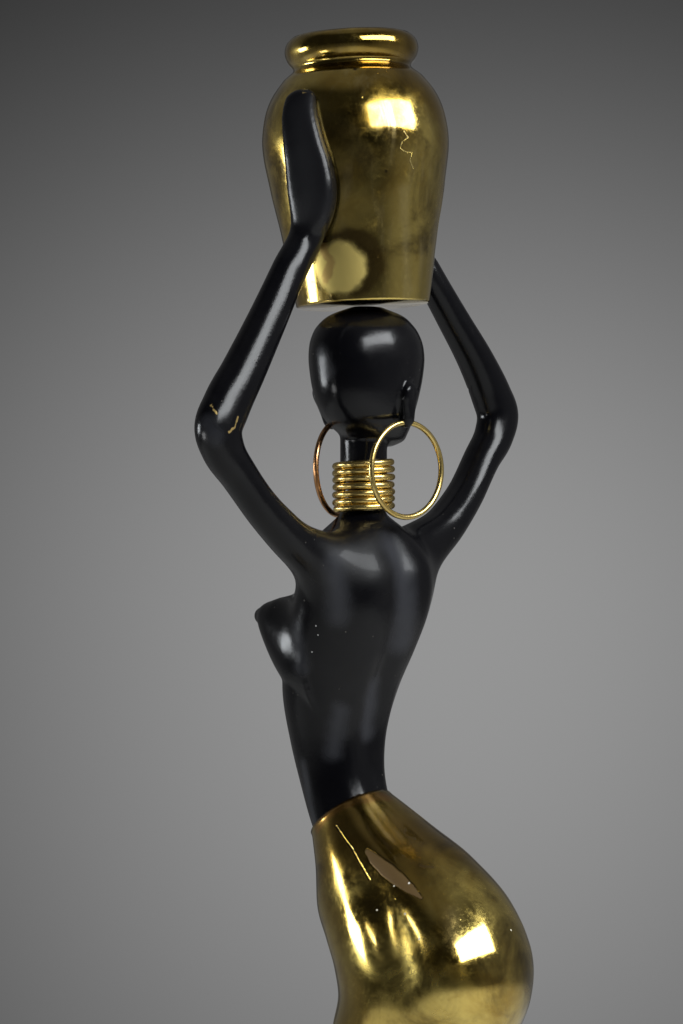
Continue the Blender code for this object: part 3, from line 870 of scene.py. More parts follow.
def make_skirt():
    """The wrap skirt, tight over the hips and narrow to the ankles."""
    rings = []
    for row in read_curve(skirt_rows(), SKIRT_STEPS):
        ring = pitched_ring(row, SKIRT_SIDES)
        middle = np.array(row[:3])
        height = (row[2] - BASE_HEIGHT - GAP) / MM
        for i in range(SKIRT_SIDES):
            out = ring[i] - middle
            wave = 0.16 * noise.noise(Vector(ring[i]) * 26) + 0.05 * noise.noise(Vector(ring[i]) * 80)
            relief = (skirt_relief(360 * i / SKIRT_SIDES, height) + wave) * MM
            ring[i] = ring[i] + out / np.linalg.norm(out) * relief
        rings.append(ring)
    top, foot = rings[0], rings[-1]
    rim = [np.mean(top, axis=0) + (top - np.mean(top, axis=0)) * share for share in (0.90, 0.975)]
    hem = [np.mean(foot, axis=0) + (foot - np.mean(foot, axis=0)) * share for share in (0.985, 0.93)]
    rings[0] = np.mean(top, axis=0) + (rings[1] - np.mean(rings[1], axis=0)) * 0.99
    return add_piece("brass_skirt", to_mesh(skin(rim + rings + hem), "brass_skirt"), "skirt")


skirt = make_skirt()

# %% [markdown]
# The hoops and the neck coil are drawn brass wire. A curve with a round bevel would make a tube as well;
# rings carried along the path keep it from twisting, and cut ends can be shaped.

# %% Wire
def wire(path, radius, sides, closed):
    """A tube of round wire along points, closed to a ring or with snipped ends."""
    path = np.array(path)
    ahead = np.roll(path, -1, axis=0) - np.roll(path, 1, axis=0) if closed else np.gradient(path, axis=0)
    ahead /= np.linalg.norm(ahead, axis=1)[:, None]
    side = np.cross(ahead[0], (0.0, 0.0, 1.0))
    rings = []
    for place, way in zip(path, ahead):
        side = side - way * np.dot(side, way)
        side /= np.linalg.norm(side)
        rings.append(ellipse(place, side * radius, np.cross(way, side) * radius, sides))
    if not closed:
        first, last = rings[0], rings[-1]
        rings.insert(0, path[0] + (first - path[0]) * 0.75 - ahead[0] * radius * 0.3)
        rings.append(path[-1] + (last - path[-1]) * 0.75 + ahead[-1] * radius * 0.3)
        return skin(rings)
    bm = bmesh.new()
    loops = [[bm.verts.new(p) for p in ring] for ring in rings]
    for here, there in zip(loops, loops[1:] + loops[:1]):
        for j in range(sides):
            k = (j + 1) % sides
            bm.faces.new((here[j], there[j], there[k], here[k]))
    bmesh.ops.recalc_face_normals(bm, faces=bm.faces)
    return bm


straight = wire([(0, 0, 0), (1, 0, 0), (2, 0, 0)], 0.1, 8, False)
print("a straight bit of wire has", len(straight.faces), "faces")
straight.free()

# %% [markdown]
# A hoop is a plain ring of wire through the lobe, bent by hand and so not quite round. Each hangs in a
# plane of its own beside the head.

# %% Hoops
EARRING_RADIUS = 0.0282
EARRING_WIRE = 0.0017


def earring_frame(side):
    """Where a hoop hangs: its middle, and the turn of its plane beside the head."""
    lobe = head_frame() @ (Vector((side * (21.5 + LOBE_REACH[side]), 2, 14.2)) * HEAD_MM)
    drop = Vector((0, 0, -EARRING_RADIUS))
    swing, roll = (0, -20) if side > 0 else (-19, 0)
    plane = head_frame().to_3x3().to_4x4() @ Matrix.Rotation(math.radians(swing), 4, "Z")
    hang = plane @ Matrix.Rotation(math.radians(roll), 4, "X")
    return Matrix.Translation(lobe) @ hang @ Matrix.Translation(drop) @ Matrix.Rotation(math.pi / 2, 4, "Y")


def make_earring(side, name, node):
    """One hoop, bent by hand and so not quite round."""
    place = earring_frame(side)
    path = []
    for i in range(160):
        angle = 2 * math.pi * i / 160
        radius = EARRING_RADIUS * (1 + 0.006 * math.sin(2 * angle + 0.6) + 0.003 * math.sin(3 * angle))
        path.append(place @ Vector((radius * math.cos(angle), radius * math.sin(angle), 0)))
    return add_piece(name, to_mesh(wire(path, EARRING_WIRE, 20, True), name), node)


left_hoop = make_earring(1, "hoop_left", "earring_left")
right_hoop = make_earring(-1, "hoop_right", "earring_right")

# %% [markdown]
# The coil is one wire wound a little over six times round the neck, and its two ends stay as they were
# snipped. Slow sines keep the turns from lying too evenly.

# %% Neck coil
COIL_WIRE = 0.0021


def make_neck_coil():
    """The wound wire, from the snipped end at the lower left to the one at the upper right."""
    start = math.radians(-24)
    total = 2 * math.pi * COIL_TURNS
    steps = 460
    radius = NECK_RADIUS + COIL_WIRE + 2 * GAP
    bottom = BASE_HEIGHT + GAP + NECK_BASE * MM + COIL_WIRE + GAP
    path = []
    for i in range(steps + 1):
        share = i / steps
        angle = start + total * share
        tail = max(0.0, 1 - i / 26)
        sway = 0.00012 * math.sin(angle * 1.7) + 0.0001 * math.sin(angle * 0.53)
        reach = radius + 0.0012 * tail**2 + sway
        rise = COIL_HEIGHT * share + 0.0003 * math.sin(angle * 0.81)
        x, y = reach * math.cos(angle), NECK_Y * MM + reach * math.sin(angle)
        path.append((x, y, bottom + max(0.0, rise)))
    mesh = to_mesh(wire(path, COIL_WIRE, 18, False), "wire_coil")
    return add_piece("wire_coil", mesh, "neck_coil")


coil = make_neck_coil()

# %% [markdown]
# Feet and base lie outside the photograph and are kept plain. Each slender bare foot is melted from a
# sole and an ankle, as the body is from its forms, and shallow grooves part the toes.

# %% Feet
def make_foot(side, step, name, node):
    """One bare foot with its ankle."""
    rows = on_figure([
        (side * 13, 26 + step, 5, 7, 5.5),
        (side * 13, 18 + step, 10, 10, 11.5),
        (side * 13, 4 + step, 13, 9.5, 14.5),
        (side * 13.5, -12 + step, 10, 10, 11.5),
        (side * 14, -30 + step, 6, 12, 7.5),
        (side * 14.5, -44 + step, 3.5, 11, 5),
        (side * 14.5, -50 + step, 2.5, 8, 3.6),
    ])
    rings = [ellipse(row[:3], (row[3], 0, 0), (0, 0, row[4]), 40) for row in read_curve(rows, 50)]
    ankle = on_figure([(side * 13, 8 + step, 12, 8.5, 9, 0), (side * 13, 8 + step, HEM_Z + 1.5, 8.5, 9, 0)])
    leg = [pitched_ring(row, 40) for row in ankle]
    mesh = fuse(joined([skin(rings), skin(leg)], name), 0.0010, 4)
    points, normals = points_of(mesh)
    x, y, z = ((points - np.array(figure_point(0, 0, 0))) / MM).T
    for toe in (-7.5, -3.2, 0.8, 4.6):
        line = np.exp(-(((x - side * 14.5 - side * toe) / 0.8) ** 2)) * (y < -38 + step)
        points = points - normals * (0.8 * MM * line * np.clip((-38 + step - y) / 4, 0, 1))[:, None]
    points[:, 2] = np.clip(points[:, 2], BASE_HEIGHT + GAP, None)
    move_points(mesh, points)
    return add_piece(name, mesh, node)


left_foot = make_foot(1, -4, "bare_foot_left", "foot_left")
right_foot = make_foot(-1, 4, "bare_foot_right", "foot_right")

# %% [markdown]
# The base is a low disc with a rounded edge. Its rings follow a quarter circle there, which a Bevel
# modifier would also give.

# %% Base
BASE_EDGE = 0.004
BASE_SIDES = 128


def make_base():
    """The low round base."""
    low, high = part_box("base")
    radius = high.x
    outline = [(radius - 0.0008, 0.0), (radius, 0.0008), (radius, high.z - BASE_EDGE)]
    for step in range(1, 9):
        angle = math.pi / 2 * step / 8
        inward, down = BASE_EDGE * (1 - math.cos(angle)), BASE_EDGE * (1 - math.sin(angle))
        outline.append((radius - inward, high.z - down))
    outline += [(radius * share, high.z) for share in (0.8, 0.55, 0.3)]
    angles = np.linspace(0, 2 * math.pi, BASE_SIDES, endpoint=False)
    rings = [[(r * math.cos(a), r * math.sin(a), z) for a in angles] for r, z in outline]
    return add_piece("low_base", to_mesh(skin(rings), "low_base"), "base")


base = make_base()

# %% [markdown]
# Finishes are built from a few effects that several metals share. Each effect is a node group, so it is
# built once and then placed in every material with that material's own numbers. All of them read object
# coordinates, which are metres on the real thing, so a cloud of tarnish has the same size everywhere.

# %% Helpers for shader nodes
def place_node(tree, kind, **settings):
    """A node of that kind in a tree, to the right of the ones before it."""
    made = tree.nodes.new("ShaderNode" + kind)
    made.location = (200 * len(tree.nodes), 0)
    for key, value in settings.items():
        setattr(made, key, value)
    return made


def feed(tree, socket, value):
    """Links a socket to another, or sets its value."""
    if isinstance(value, bpy.types.NodeSocket):
        tree.links.new(value, socket)
    else:
        socket.default_value = value


def compute(tree, operation, first, second=0.0, third=0.0, clamp=False):
    """A math node's output."""
    made = place_node(tree, "Math", operation=operation, use_clamp=clamp)
    for socket, value in zip(made.inputs, (first, second, third)):
        feed(tree, socket, value)
    return made.outputs[0]


def vectors(tree, operation, first, second=(0, 0, 0)):
    """A vector math node."""
    made = place_node(tree, "VectorMath", operation=operation)
    feed(tree, made.inputs[0], first)
    feed(tree, made.inputs[1], second)
    return made


def ramp_between(tree, value, low, high, to_low=0.0, to_high=1.0):
    """A value eased from one range to another."""
    made = place_node(tree, "MapRange", interpolation_type="SMOOTHSTEP")
    for socket, number in zip(made.inputs[:5], (value, low, high, to_low, to_high)):
        feed(tree, socket, number)
    return made.outputs["Result"]


def group_of(name, inputs, outputs):
    """An empty effect: a node group with named inputs, their kinds and defaults, and named outputs."""
    tree = bpy.data.node_groups.new(name, "ShaderNodeTree")
    for title, default in inputs.items():
        kind = "NodeSocketVector" if isinstance(default, tuple) else "NodeSocketFloat"
        socket = tree.interface.new_socket(name=title, in_out="INPUT", socket_type=kind)
        socket.default_value = default
    for title in outputs:
        tree.interface.new_socket(name=title, in_out="OUTPUT", socket_type="NodeSocketFloat")
    return tree, tree.nodes.new("NodeGroupInput").outputs, tree.nodes.new("NodeGroupOutput").inputs


print("node groups so far:", len(bpy.data.node_groups))

# %% [markdown]
# Tarnish lies on brass in soft clouds, because damp air and hands reach it unevenly. A noise texture with
# a soft threshold gives such clouds. The same group also makes the faint greying of the black patina.

# %% Effect: clouds
clouds, given, out = group_of(
    "clouds",
    {"Scale": 30.0, "Offset": (0.0, 0.0, 0.0), "Stretch": (1.0, 1.0, 1.0), "Low": 0.4, "High": 0.6},
    ["Mask"],
)
coordinates = place_node(clouds, "TexCoord").outputs["Object"]
stretched = vectors(clouds, "MULTIPLY", coordinates, given["Stretch"]).outputs[0]
moved = vectors(clouds, "ADD", stretched, given["Offset"]).outputs[0]
cloud_noise = place_node(clouds, "TexNoise")
feed(clouds, cloud_noise.inputs["Vector"], moved)
feed(clouds, cloud_noise.inputs["Scale"], given["Scale"])
cloud_noise.inputs["Detail"].default_value = 7
cloud_noise.inputs["Roughness"].default_value = 0.6
cloud_noise.inputs["Distortion"].default_value = 0.5
feed(clouds, out["Mask"], ramp_between(clouds, cloud_noise.outputs["Fac"], given["Low"], given["High"]))
print("effect clouds:", len(clouds.nodes), "nodes")

# %% [markdown]
# Casting leaves pinholes and years leave specks. Voronoi cells scatter points evenly; each cell draws a
# lot, so that only some of them hold a speck.

# %% Effect: specks
specks, given, out = group_of("specks", {"Scale": 300.0, "Size": 0.12, "Share": 0.3}, ["Mask"])
cells = place_node(specks, "TexVoronoi")
feed(specks, cells.inputs["Vector"], place_node(specks, "TexCoord").outputs["Object"])
feed(specks, cells.inputs["Scale"], given["Scale"])
lot = place_node(specks, "SeparateColor")
feed(specks, lot.inputs[0], cells.outputs["Color"])
drawn = compute(specks, "LESS_THAN", lot.outputs[0], given["Share"])
reach = compute(specks, "MULTIPLY", given["Size"], lot.outputs[1])
near = ramp_between(specks, cells.outputs["Distance"], reach, 0.0)
feed(specks, out["Mask"], compute(specks, "MULTIPLY", near, drawn))
print("effect specks:", len(specks.nodes), "nodes")

# %% [markdown]
# Some marks sit at one place: a round stain, a scratch, a crease. A mark is the distance from a stretch
# of line, eased to a mask; where both ends are the same point it is a round spot. Noise frays its edge.

# %% Effect: mark
mark, given, out = group_of(
    "mark",
    {
        "Start": (0.0, 0.0, 0.0), "End": (0.0, 0.0, 0.001), "Width": 0.001, "Grow": 0.0,
        "Edge": 0.0005, "Fray": 0.0, "Grain": 200.0,
    },
    ["Mask"],
)
here = place_node(mark, "TexCoord").outputs["Object"]
from_start = vectors(mark, "SUBTRACT", here, given["Start"]).outputs[0]
whole = vectors(mark, "SUBTRACT", given["End"], given["Start"]).outputs[0]
share = compute(
    mark, "DIVIDE",
    vectors(mark, "DOT_PRODUCT", from_start, whole).outputs["Value"],
    compute(mark, "MAXIMUM", vectors(mark, "DOT_PRODUCT", whole, whole).outputs["Value"], 1e-9),
    clamp=True,
)
scaled = place_node(mark, "VectorMath", operation="SCALE")
feed(mark, scaled.inputs[0], whole)
feed(mark, scaled.inputs["Scale"], share)
gap_to_line = vectors(mark, "SUBTRACT", from_start, scaled.outputs[0]).outputs[0]
distance = vectors(mark, "LENGTH", gap_to_line).outputs["Value"]
fray_noise = place_node(mark, "TexNoise")
feed(mark, fray_noise.inputs["Vector"], here)
feed(mark, fray_noise.inputs["Scale"], given["Grain"])
fray_noise.inputs["Detail"].default_value = 5
to_and_fro = compute(mark, "SUBTRACT", fray_noise.outputs["Fac"], 0.5)
frayed = compute(mark, "MULTIPLY_ADD", to_and_fro, given["Fray"], distance)
reach_there = compute(mark, "MULTIPLY_ADD", share, given["Grow"], given["Width"])
inner_edge = compute(mark, "SUBTRACT", reach_there, given["Edge"])
outer_edge = compute(mark, "ADD", reach_there, given["Edge"])
feed(mark, out["Mask"], ramp_between(mark, frayed, outer_edge, inner_edge))
print("effect mark:", len(mark.nodes), "nodes")

# %% [markdown]
# A mark is placed by where the camera sees it: a ray goes through a pixel of the photograph, and the mark
# lies where the ray meets the piece. Places could be typed in metres too, but a pixel is easy to check.

# %% Places under camera pixels
def pixel_ray(x, y):
    """The direction in which the camera sees a pixel of the photograph."""
    across = (x - PHOTO_WIDTH / 2) / FOCAL_PIXELS
    up = (PHOTO_HEIGHT / 2 - y) / FOCAL_PIXELS
    return (camera.matrix_world.to_3x3() @ Vector((across, up, -1))).normalized()


def seen_point(obj, x, y):
    """Where the camera's ray through a pixel meets an object: the place and the surface's normal."""
    tree = BVHTree.FromObject(obj, bpy.context.evaluated_depsgraph_get())
    place, normal, _, _ = tree.ray_cast(camera.matrix_world.translation, pixel_ray(x, y))
    return place, normal


middle_ray = pixel_ray(PHOTO_WIDTH / 2, PHOTO_HEIGHT / 2)
print("the middle pixel's ray points", tuple(round(v, 3) for v in middle_ray))

# %% [markdown]
# A finish starts as one even metal. Layers then go over it, each where its mask says: another colour,
# another roughness, more or less metal, or a dent. The shader itself stays in the material.

# %% Finish builder
class Finish:
    """A material under way. Each layer goes over the ones before it."""

    def __init__(self, name, color, roughness, metallic, relief):
        self.material = bpy.data.materials.new(name)
        self.material.use_nodes = True
        self.tree = self.material.node_tree
        self.shader = self.tree.nodes["Principled BSDF"]
        self.color = (*color, 1)
        self.roughness = roughness
        self.metallic = metallic
        self.height = 0.0
        self.relief = relief

    def effect(self, group, **values):
        """An effect placed in this material with its own numbers; gives its mask."""
        made = place_node(self.tree, "Group", node_tree=group)
        for title, value in values.items():
            feed(self.tree, made.inputs[title], value)
        return made.outputs["Mask"]

    def mixed(self, mask, old, new, kind):
        """Old and new mixed by a mask."""
        made = place_node(self.tree, "Mix", data_type=kind)
        sockets = [s for s in made.inputs if s.type == ("RGBA" if kind == "RGBA" else "VALUE")]
        if kind == "RGBA":
            feed(self.tree, made.inputs["Factor"], mask)
            first, second = sockets
            result = [s for s in made.outputs if s.type == "RGBA"][0]
        else:
            feed(self.tree, sockets[0], mask)
            first, second = sockets[-2:]
            result = [s for s in made.outputs if s.type == "VALUE"][0]
        feed(self.tree, first, old)
        feed(self.tree, second, new)
        return result

    def lay(self, mask, strength=1.0, color=None, roughness=None, metallic=None, height=None):
        """Lays a layer where the mask says."""
        share = compute(self.tree, "MULTIPLY", mask, strength)
        if color is not None:
            self.color = self.mixed(share, self.color, (*color, 1), "RGBA")
        if roughness is not None:
            self.roughness = self.mixed(share, self.roughness, roughness, "FLOAT")
        if metallic is not None:
            self.metallic = self.mixed(share, self.metallic, metallic, "FLOAT")
        if height is not None:
            self.height = compute(self.tree, "MULTIPLY_ADD", share, height, self.height)

    def trail(self, obj, pixels, width, strength=1.0, fray=0.0, grain=420.0, soft=0.4, **looks):
        """A mark over a piece through camera pixels. One pixel makes a spot, a list of widths a taper."""
        widths = width if isinstance(width, list) else [width] * len(pixels)
        found = [(seen_point(obj, x, y)[0], wide) for (x, y), wide in zip(pixels, widths)]
        stops = [(place, wide) for place, wide in found if place is not None]
        if not stops:
            print("no surface at", pixels)
            return
        whole = None
        for (start, wide), (end, next_wide) in list(zip(stops, stops[1:])) or [(stops[0], stops[0])]:
            part = self.effect(
                mark, Start=tuple(start), End=tuple(end), Width=wide, Grow=next_wide - wide,
                Edge=soft * min(wide, next_wide), Fray=fray, Grain=grain,
            )
            whole = part if whole is None else compute(self.tree, "MAXIMUM", whole, part)
        self.lay(whole, strength, **looks)

    def done(self):
        """Feeds the shader and gives the material."""
        feed(self.tree, self.shader.inputs["Base Color"], self.color)
        feed(self.tree, self.shader.inputs["Roughness"], self.roughness)
        feed(self.tree, self.shader.inputs["Metallic"], self.metallic)
        if isinstance(self.height, bpy.types.NodeSocket):
            bump = place_node(self.tree, "Bump")
            bump.inputs["Distance"].default_value = self.relief
            feed(self.tree, bump.inputs["Height"], self.height)
            feed(self.tree, self.shader.inputs["Normal"], bump.outputs["Normal"])
        print("finish", self.material.name, "has", len(self.tree.nodes), "nodes")
        return self.material


def give(material, *pieces):
    """Gives a material to pieces."""
    for piece in pieces:
        piece.data.materials.clear()
        piece.data.materials.append(material)


print("materials in the file so far:", len(bpy.data.materials))

# %% [markdown]
# The black patina is a thin chemical coat on brass, waxed to a satin. It greys in clouds, dust settles in
# it, and where it has been knocked the bare brass looks through. Back and shoulders are scuffed paler,
# and pale patches on the head's left side, the left flank and the waist's left edge are painted
# highlights; those on the back are partly scuffs and partly painted highlights.

# %% Black patina
BARE_BRASS = (0.62, 0.44, 0.16)
KNOCKS = [[(211, 405), (216, 413)], [(229, 432), (235, 427), (238, 417)], [(303, 93), (312, 94)]]
DUST_ON_BACK = [(316, 626), (318, 635), (312, 652)]
UPPER_BACK = [(340, 556), (392, 560)]
BACK_OF_HAND = [(303, 112), (306, 150), (311, 205)]
# Pale patches: painted highlights on the head's left side, the left flank and the waist's left edge; partly
# scuffs, partly painted highlights on the back.
SCUFFS_AND_PAINTED_HIGHLIGHTS = [
    ([(391, 548), (405, 596), (403, 640)], 0.0075, 0.8),
    ([(335, 562), (338, 616)], 0.0060, 0.7),
    ([(372, 688), (366, 731)], 0.0055, 0.8),
    ([(340, 712), (333, 752)], 0.0050, 0.7),
    ([(320, 352), (327, 372)], 0.0040, 0.6),
    ([(214, 436), (206, 424)], 0.0045, 0.5),
    ([(303, 766), (309, 800), (314, 820)], 0.0034, 0.9),
    ([(297, 625), (301, 668)], 0.0045, 0.6),
]

patina = Finish("waxed_patina", (0.0020, 0.0020, 0.0028), 0.19, 0.0, 0.0004)
greying = patina.effect(clouds, Scale=22.0, Low=0.42, High=0.66)
patina.lay(greying, 0.6, color=(0.0045, 0.0043, 0.0050), roughness=0.26)
rubbed = patina.effect(clouds, Scale=140.0, Offset=(3, 1, 2), Low=0.4, High=0.7)
patina.lay(rubbed, 0.35, roughness=0.14, height=0.10)
patina.lay(patina.effect(clouds, Scale=620.0, Low=0.35, High=0.65), 1.0, height=0.045)
dust = patina.effect(specks, Scale=260.0, Size=0.20, Share=0.10)
patina.lay(dust, 0.7, color=(0.12, 0.11, 0.095), roughness=0.8)
for pixels in KNOCKS:
    patina.trail(figure, pixels, 0.00045, 0.65, 0.0035, color=BARE_BRASS, roughness=0.35, metallic=1.0)
for spot in DUST_ON_BACK:
    patina.trail(figure, [spot], 0.00045, 0.8, 0.001, color=(0.5, 0.5, 0.48), roughness=0.8)
patina.trail(figure, UPPER_BACK, 0.016, 1.0, 0.008, 60.0, 0.9, roughness=0.5)
patina.trail(
    figure, BACK_OF_HAND, 0.012, 0.9, 0.008, 75.0, 0.9, color=(0.009, 0.009, 0.0105), roughness=0.4,
)
# Lays the pale patches, scuffs in part and painted highlights in part.
for pixels, width, strength in SCUFFS_AND_PAINTED_HIGHLIGHTS:
    patina.trail(
        figure, pixels, width, strength, 0.007, 75.0, 1.0, color=(0.030, 0.031, 0.036), roughness=0.42,
    )
patina.shader.inputs["Specular IOR Level"].default_value = 0.22
patina.shader.inputs["Coat Weight"].default_value = 0.1
patina.shader.inputs["Coat Roughness"].default_value = 0.12
give(patina.done(), figure, left_foot, right_foot)

# %% [markdown]
# The base has the same patina, but greyer and rougher, as a part that is seldom waxed.

# %% Base patina
plinth = Finish("waxed_base", (0.003, 0.003, 0.0033), 0.36, 0.0, 0.0004)
greying = plinth.effect(clouds, Scale=18.0, Low=0.4, High=0.65)
plinth.lay(greying, 0.7, color=(0.007, 0.0065, 0.006), roughness=0.5)
plinth.lay(plinth.effect(clouds, Scale=300.0, Low=0.35, High=0.7), 1.0, height=0.12)
dust = plinth.effect(specks, Scale=220.0, Size=0.2, Share=0.12)
plinth.lay(dust, 0.7, color=(0.12, 0.11, 0.095), roughness=0.8)
give(plinth.done(), base)

# %% [markdown]
# Jar and skirt share one brass: polished once, then left for years, gold where hands rub it, brown and
# olive in clouds where air has worked. A thin old lacquer whitens the highlights. It is even all over,
# so it is set on the shader itself and not by a mask.

# %% Aged brass
POLISHED = (0.80, 0.61, 0.165)
BROWNED = (0.38, 0.235, 0.032)
DARKENED = (0.10, 0.06, 0.010)
LACQUER = 0.45
LACQUER_ROUGHNESS = 0.04


def aged_brass(name, offset, polish):
    """Polished brass with years on it: brown clouds, olive patches, a dull bloom and pinholes."""
    made = Finish(name, POLISHED, polish, 1.0, 0.0005)
    made.shader.inputs["Coat Weight"].default_value = LACQUER
    made.shader.inputs["Coat Roughness"].default_value = LACQUER_ROUGHNESS
    near = (offset, 0.3 * offset, 0.7 * offset)
    far = (2.0 + offset, 5.0, 1.0)
    made.lay(made.effect(clouds, Scale=12.0, Offset=near, Low=0.34, High=0.60), 0.9, color=BROWNED)
    made.lay(made.effect(clouds, Scale=24.0, Offset=far, Low=0.46, High=0.70), 0.8, color=DARKENED)
    bloom = made.effect(clouds, Scale=30.0, Offset=(7.0, 1.0, offset), Low=0.45, High=0.7)
    made.lay(bloom, 0.7, roughness=0.38)
    mottle = made.effect(clouds, Scale=130.0, Offset=far, Low=0.52, High=0.78)
    made.lay(mottle, 0.45, roughness=0.4, color=BROWNED)
    made.lay(made.effect(clouds, Scale=420.0, Low=0.45, High=0.7), 0.5, roughness=0.25, height=0.02)
    pinholes = made.effect(specks, Scale=150.0, Size=0.18, Share=0.16)
    made.lay(pinholes, 0.85, color=DARKENED, roughness=0.5, height=-0.3)
    return made


print("brass goes from", POLISHED, "over", BROWNED, "to", DARKENED)

# %% [markdown]
# The jar has upright polishing streaks, a round stain with a dark ring, one wandering scratch and two
# pinholes. A dark band under its shoulder is painted shade, and a thin upright bright line is a painted
# highlight. Its lip is browner on the side that is seen.

# %% Jar brass
STAIN_RING = [(352, 262)]
STAIN_MIDDLE = [(340, 268)]
STAIN_RUN = [(322, 246), (330, 262), (326, 280)]
SCRATCH = [(404, 131), (408, 137), (402, 142), (400, 148), (406, 152), (412, 152), (410, 160), (413, 168)]
PINHOLES = [((386, 171), 0.0010), ((355, 69), 0.0012)]
# Painted shade: a dark band under the jar's shoulder.
SHOULDER_PAINTED_SHADE = [(330, 120), (352, 140), (372, 168)]
# Painted highlight: a thin upright bright line on the jar.
UPRIGHT_PAINTED_HIGHLIGHT = [(404, 190), (408, 292)]
FOOT_EDGE = [(308, 300), (360, 303), (425, 300)]
LIP_BAND = [(298, 47), (330, 51), (372, 47), (406, 45)]

spun = aged_brass("spun_brass", 0.3, 0.10)
streaks = spun.effect(clouds, Scale=80.0, Offset=(0, 4, 0), Stretch=(1.0, 1.0, 0.10), Low=0.5, High=0.7)
spun.lay(streaks, 0.45, color=(0.74, 0.60, 0.28), roughness=0.26)
spun.trail(jar, STAIN_RING, 0.0205, 0.85, 0.006, 110.0, 0.14, color=(0.07, 0.038, 0.010), roughness=0.24)
spun.trail(jar, STAIN_MIDDLE, 0.0158, 0.95, 0.006, 130.0, 0.18, color=(0.98, 0.78, 0.25), roughness=0.46)
spun.trail(jar, STAIN_RUN, 0.003, 0.5, 0.006, 200.0, color=(0.55, 0.28, 0.10), roughness=0.4)
spun.trail(jar, SCRATCH, 0.00022, 0.5, 0.0012, color=(0.62, 0.50, 0.24), roughness=0.45, height=-0.6)
for spot, width in PINHOLES:
    spun.trail(jar, [spot], width, 0.9, 0.001, color=(0.03, 0.02, 0.01), roughness=0.25)
# Painted shade under the shoulder.
spun.trail(jar, SHOULDER_PAINTED_SHADE, 0.006, 0.5, 0.012, 90.0, color=(0.10, 0.08, 0.035), roughness=0.3)
# Painted highlight along an upright line.
spun.trail(jar, UPRIGHT_PAINTED_HIGHLIGHT, 0.0030, 0.22, 0.006, 90.0, 0.9, color=(0.85, 0.72, 0.38), roughness=0.34)
spun.trail(jar, FOOT_EDGE, 0.0010, 0.8, 0.0006, color=(0.9, 0.78, 0.4), roughness=0.25)
spun.trail(jar, LIP_BAND, 0.0075, 0.6, 0.008, 60.0, 0.9, color=(0.22, 0.14, 0.02))
give(spun.done(), jar)

# %% [markdown]
# The skirt is cast brass under a mirror polish. A brown band round the waist, where the skirt meets the
# body, is partly browning and partly painted shade. A fine crease runs down from the waist, drawn as a
# painted shadow line beside a painted highlight line, each with a slight bump. A casting hole was filled
# with solder that stays dull and tan: a leaf-shaped patch with a dark rim, a little proud of the brass.
# A faint upright pale patch on the hip is a painted highlight.

# %% Skirt brass
# Waist band: partly browning, partly painted shade where the skirt meets the body.
WAIST_BROWNING_AND_PAINTED_SHADE = [(345, 835), (392, 836)]
WAIST_EDGE = [(318, 826), (327, 813), (345, 803), (366, 798), (385, 797)]
# The crease: a painted shadow line and, beside it, a painted highlight line.
CREASE_PAINTED_SHADOW = [(336, 827), (352, 850), (369, 880)]
CREASE_PAINTED_HIGHLIGHT = [(337, 826), (354, 850), (371, 879)]
REPAIR = [(367, 851), (374, 859), (388, 871), (398, 879), (409, 888), (421, 898)]
REPAIR_HALF_WIDTHS = [0.0012, 0.0029, 0.0041, 0.0039, 0.0027, 0.0006]
REPAIR_RIM = 0.0006
NICK = [(421, 866), (433, 867)]
DUST_ON_SKIRT = [(394, 886), (409, 883), (419, 939), (377, 910), (405, 914), (511, 930)]
# Painted highlight: a faint upright pale patch on the hip.
PALE_PAINTED_HIGHLIGHT = [(451, 914), (452, 940)]

cast_brass = aged_brass("polished_cast_brass", 1.3, 0.09)
# Browning and painted shade round the waist.
cast_brass.trail(skirt, WAIST_BROWNING_AND_PAINTED_SHADE, 0.020, 0.65, 0.022, 60.0, 0.9, color=(0.30, 0.18, 0.035), roughness=0.22)
cast_brass.trail(skirt, WAIST_EDGE, 0.0045, 0.5, 0.004, 160.0, color=(0.50, 0.22, 0.06), roughness=0.3)
# Painted shadow and painted highlight along the crease, each with a slight bump.
cast_brass.trail(skirt, CREASE_PAINTED_SHADOW, 0.0008, 0.7, 0.0010, color=(0.10, 0.06, 0.015), height=-0.6)
cast_brass.trail(skirt, CREASE_PAINTED_HIGHLIGHT, 0.0002, 0.4, 0.0006, color=(0.62, 0.48, 0.22), height=0.4)
cast_brass.trail(
    skirt, REPAIR, [wide + REPAIR_RIM for wide in REPAIR_HALF_WIDTHS], 0.9, 0.0016, 160.0, 0.2,
    color=(0.07, 0.04, 0.015), roughness=0.4, height=-0.3,
)
cast_brass.trail(
    skirt, REPAIR, REPAIR_HALF_WIDTHS, 0.95, 0.0016, 160.0, 0.15,
    color=(0.14, 0.085, 0.030), roughness=0.46, metallic=0.3, height=0.35,
)
cast_brass.trail(skirt, NICK, 0.0012, 0.8, 0.003, color=(0.08, 0.05, 0.02), roughness=0.5)
for spot in DUST_ON_SKIRT:
    cast_brass.trail(skirt, [spot], 0.0006, 0.9, 0.0006, color=(0.8, 0.78, 0.7), roughness=0.7, metallic=0.2)
# Painted highlight on the hip.
cast_brass.trail(skirt, PALE_PAINTED_HIGHLIGHT, 0.005, 0.2, 0.006, 60.0, 0.9, color=(0.75, 0.62, 0.36), roughness=0.3)
give(cast_brass.done(), skirt)

# %% [markdown]
# Hoops and neck wire are drawn brass, a little duller than the jar. The farther hoop has kept a redder
# tone from the heat that closed it.

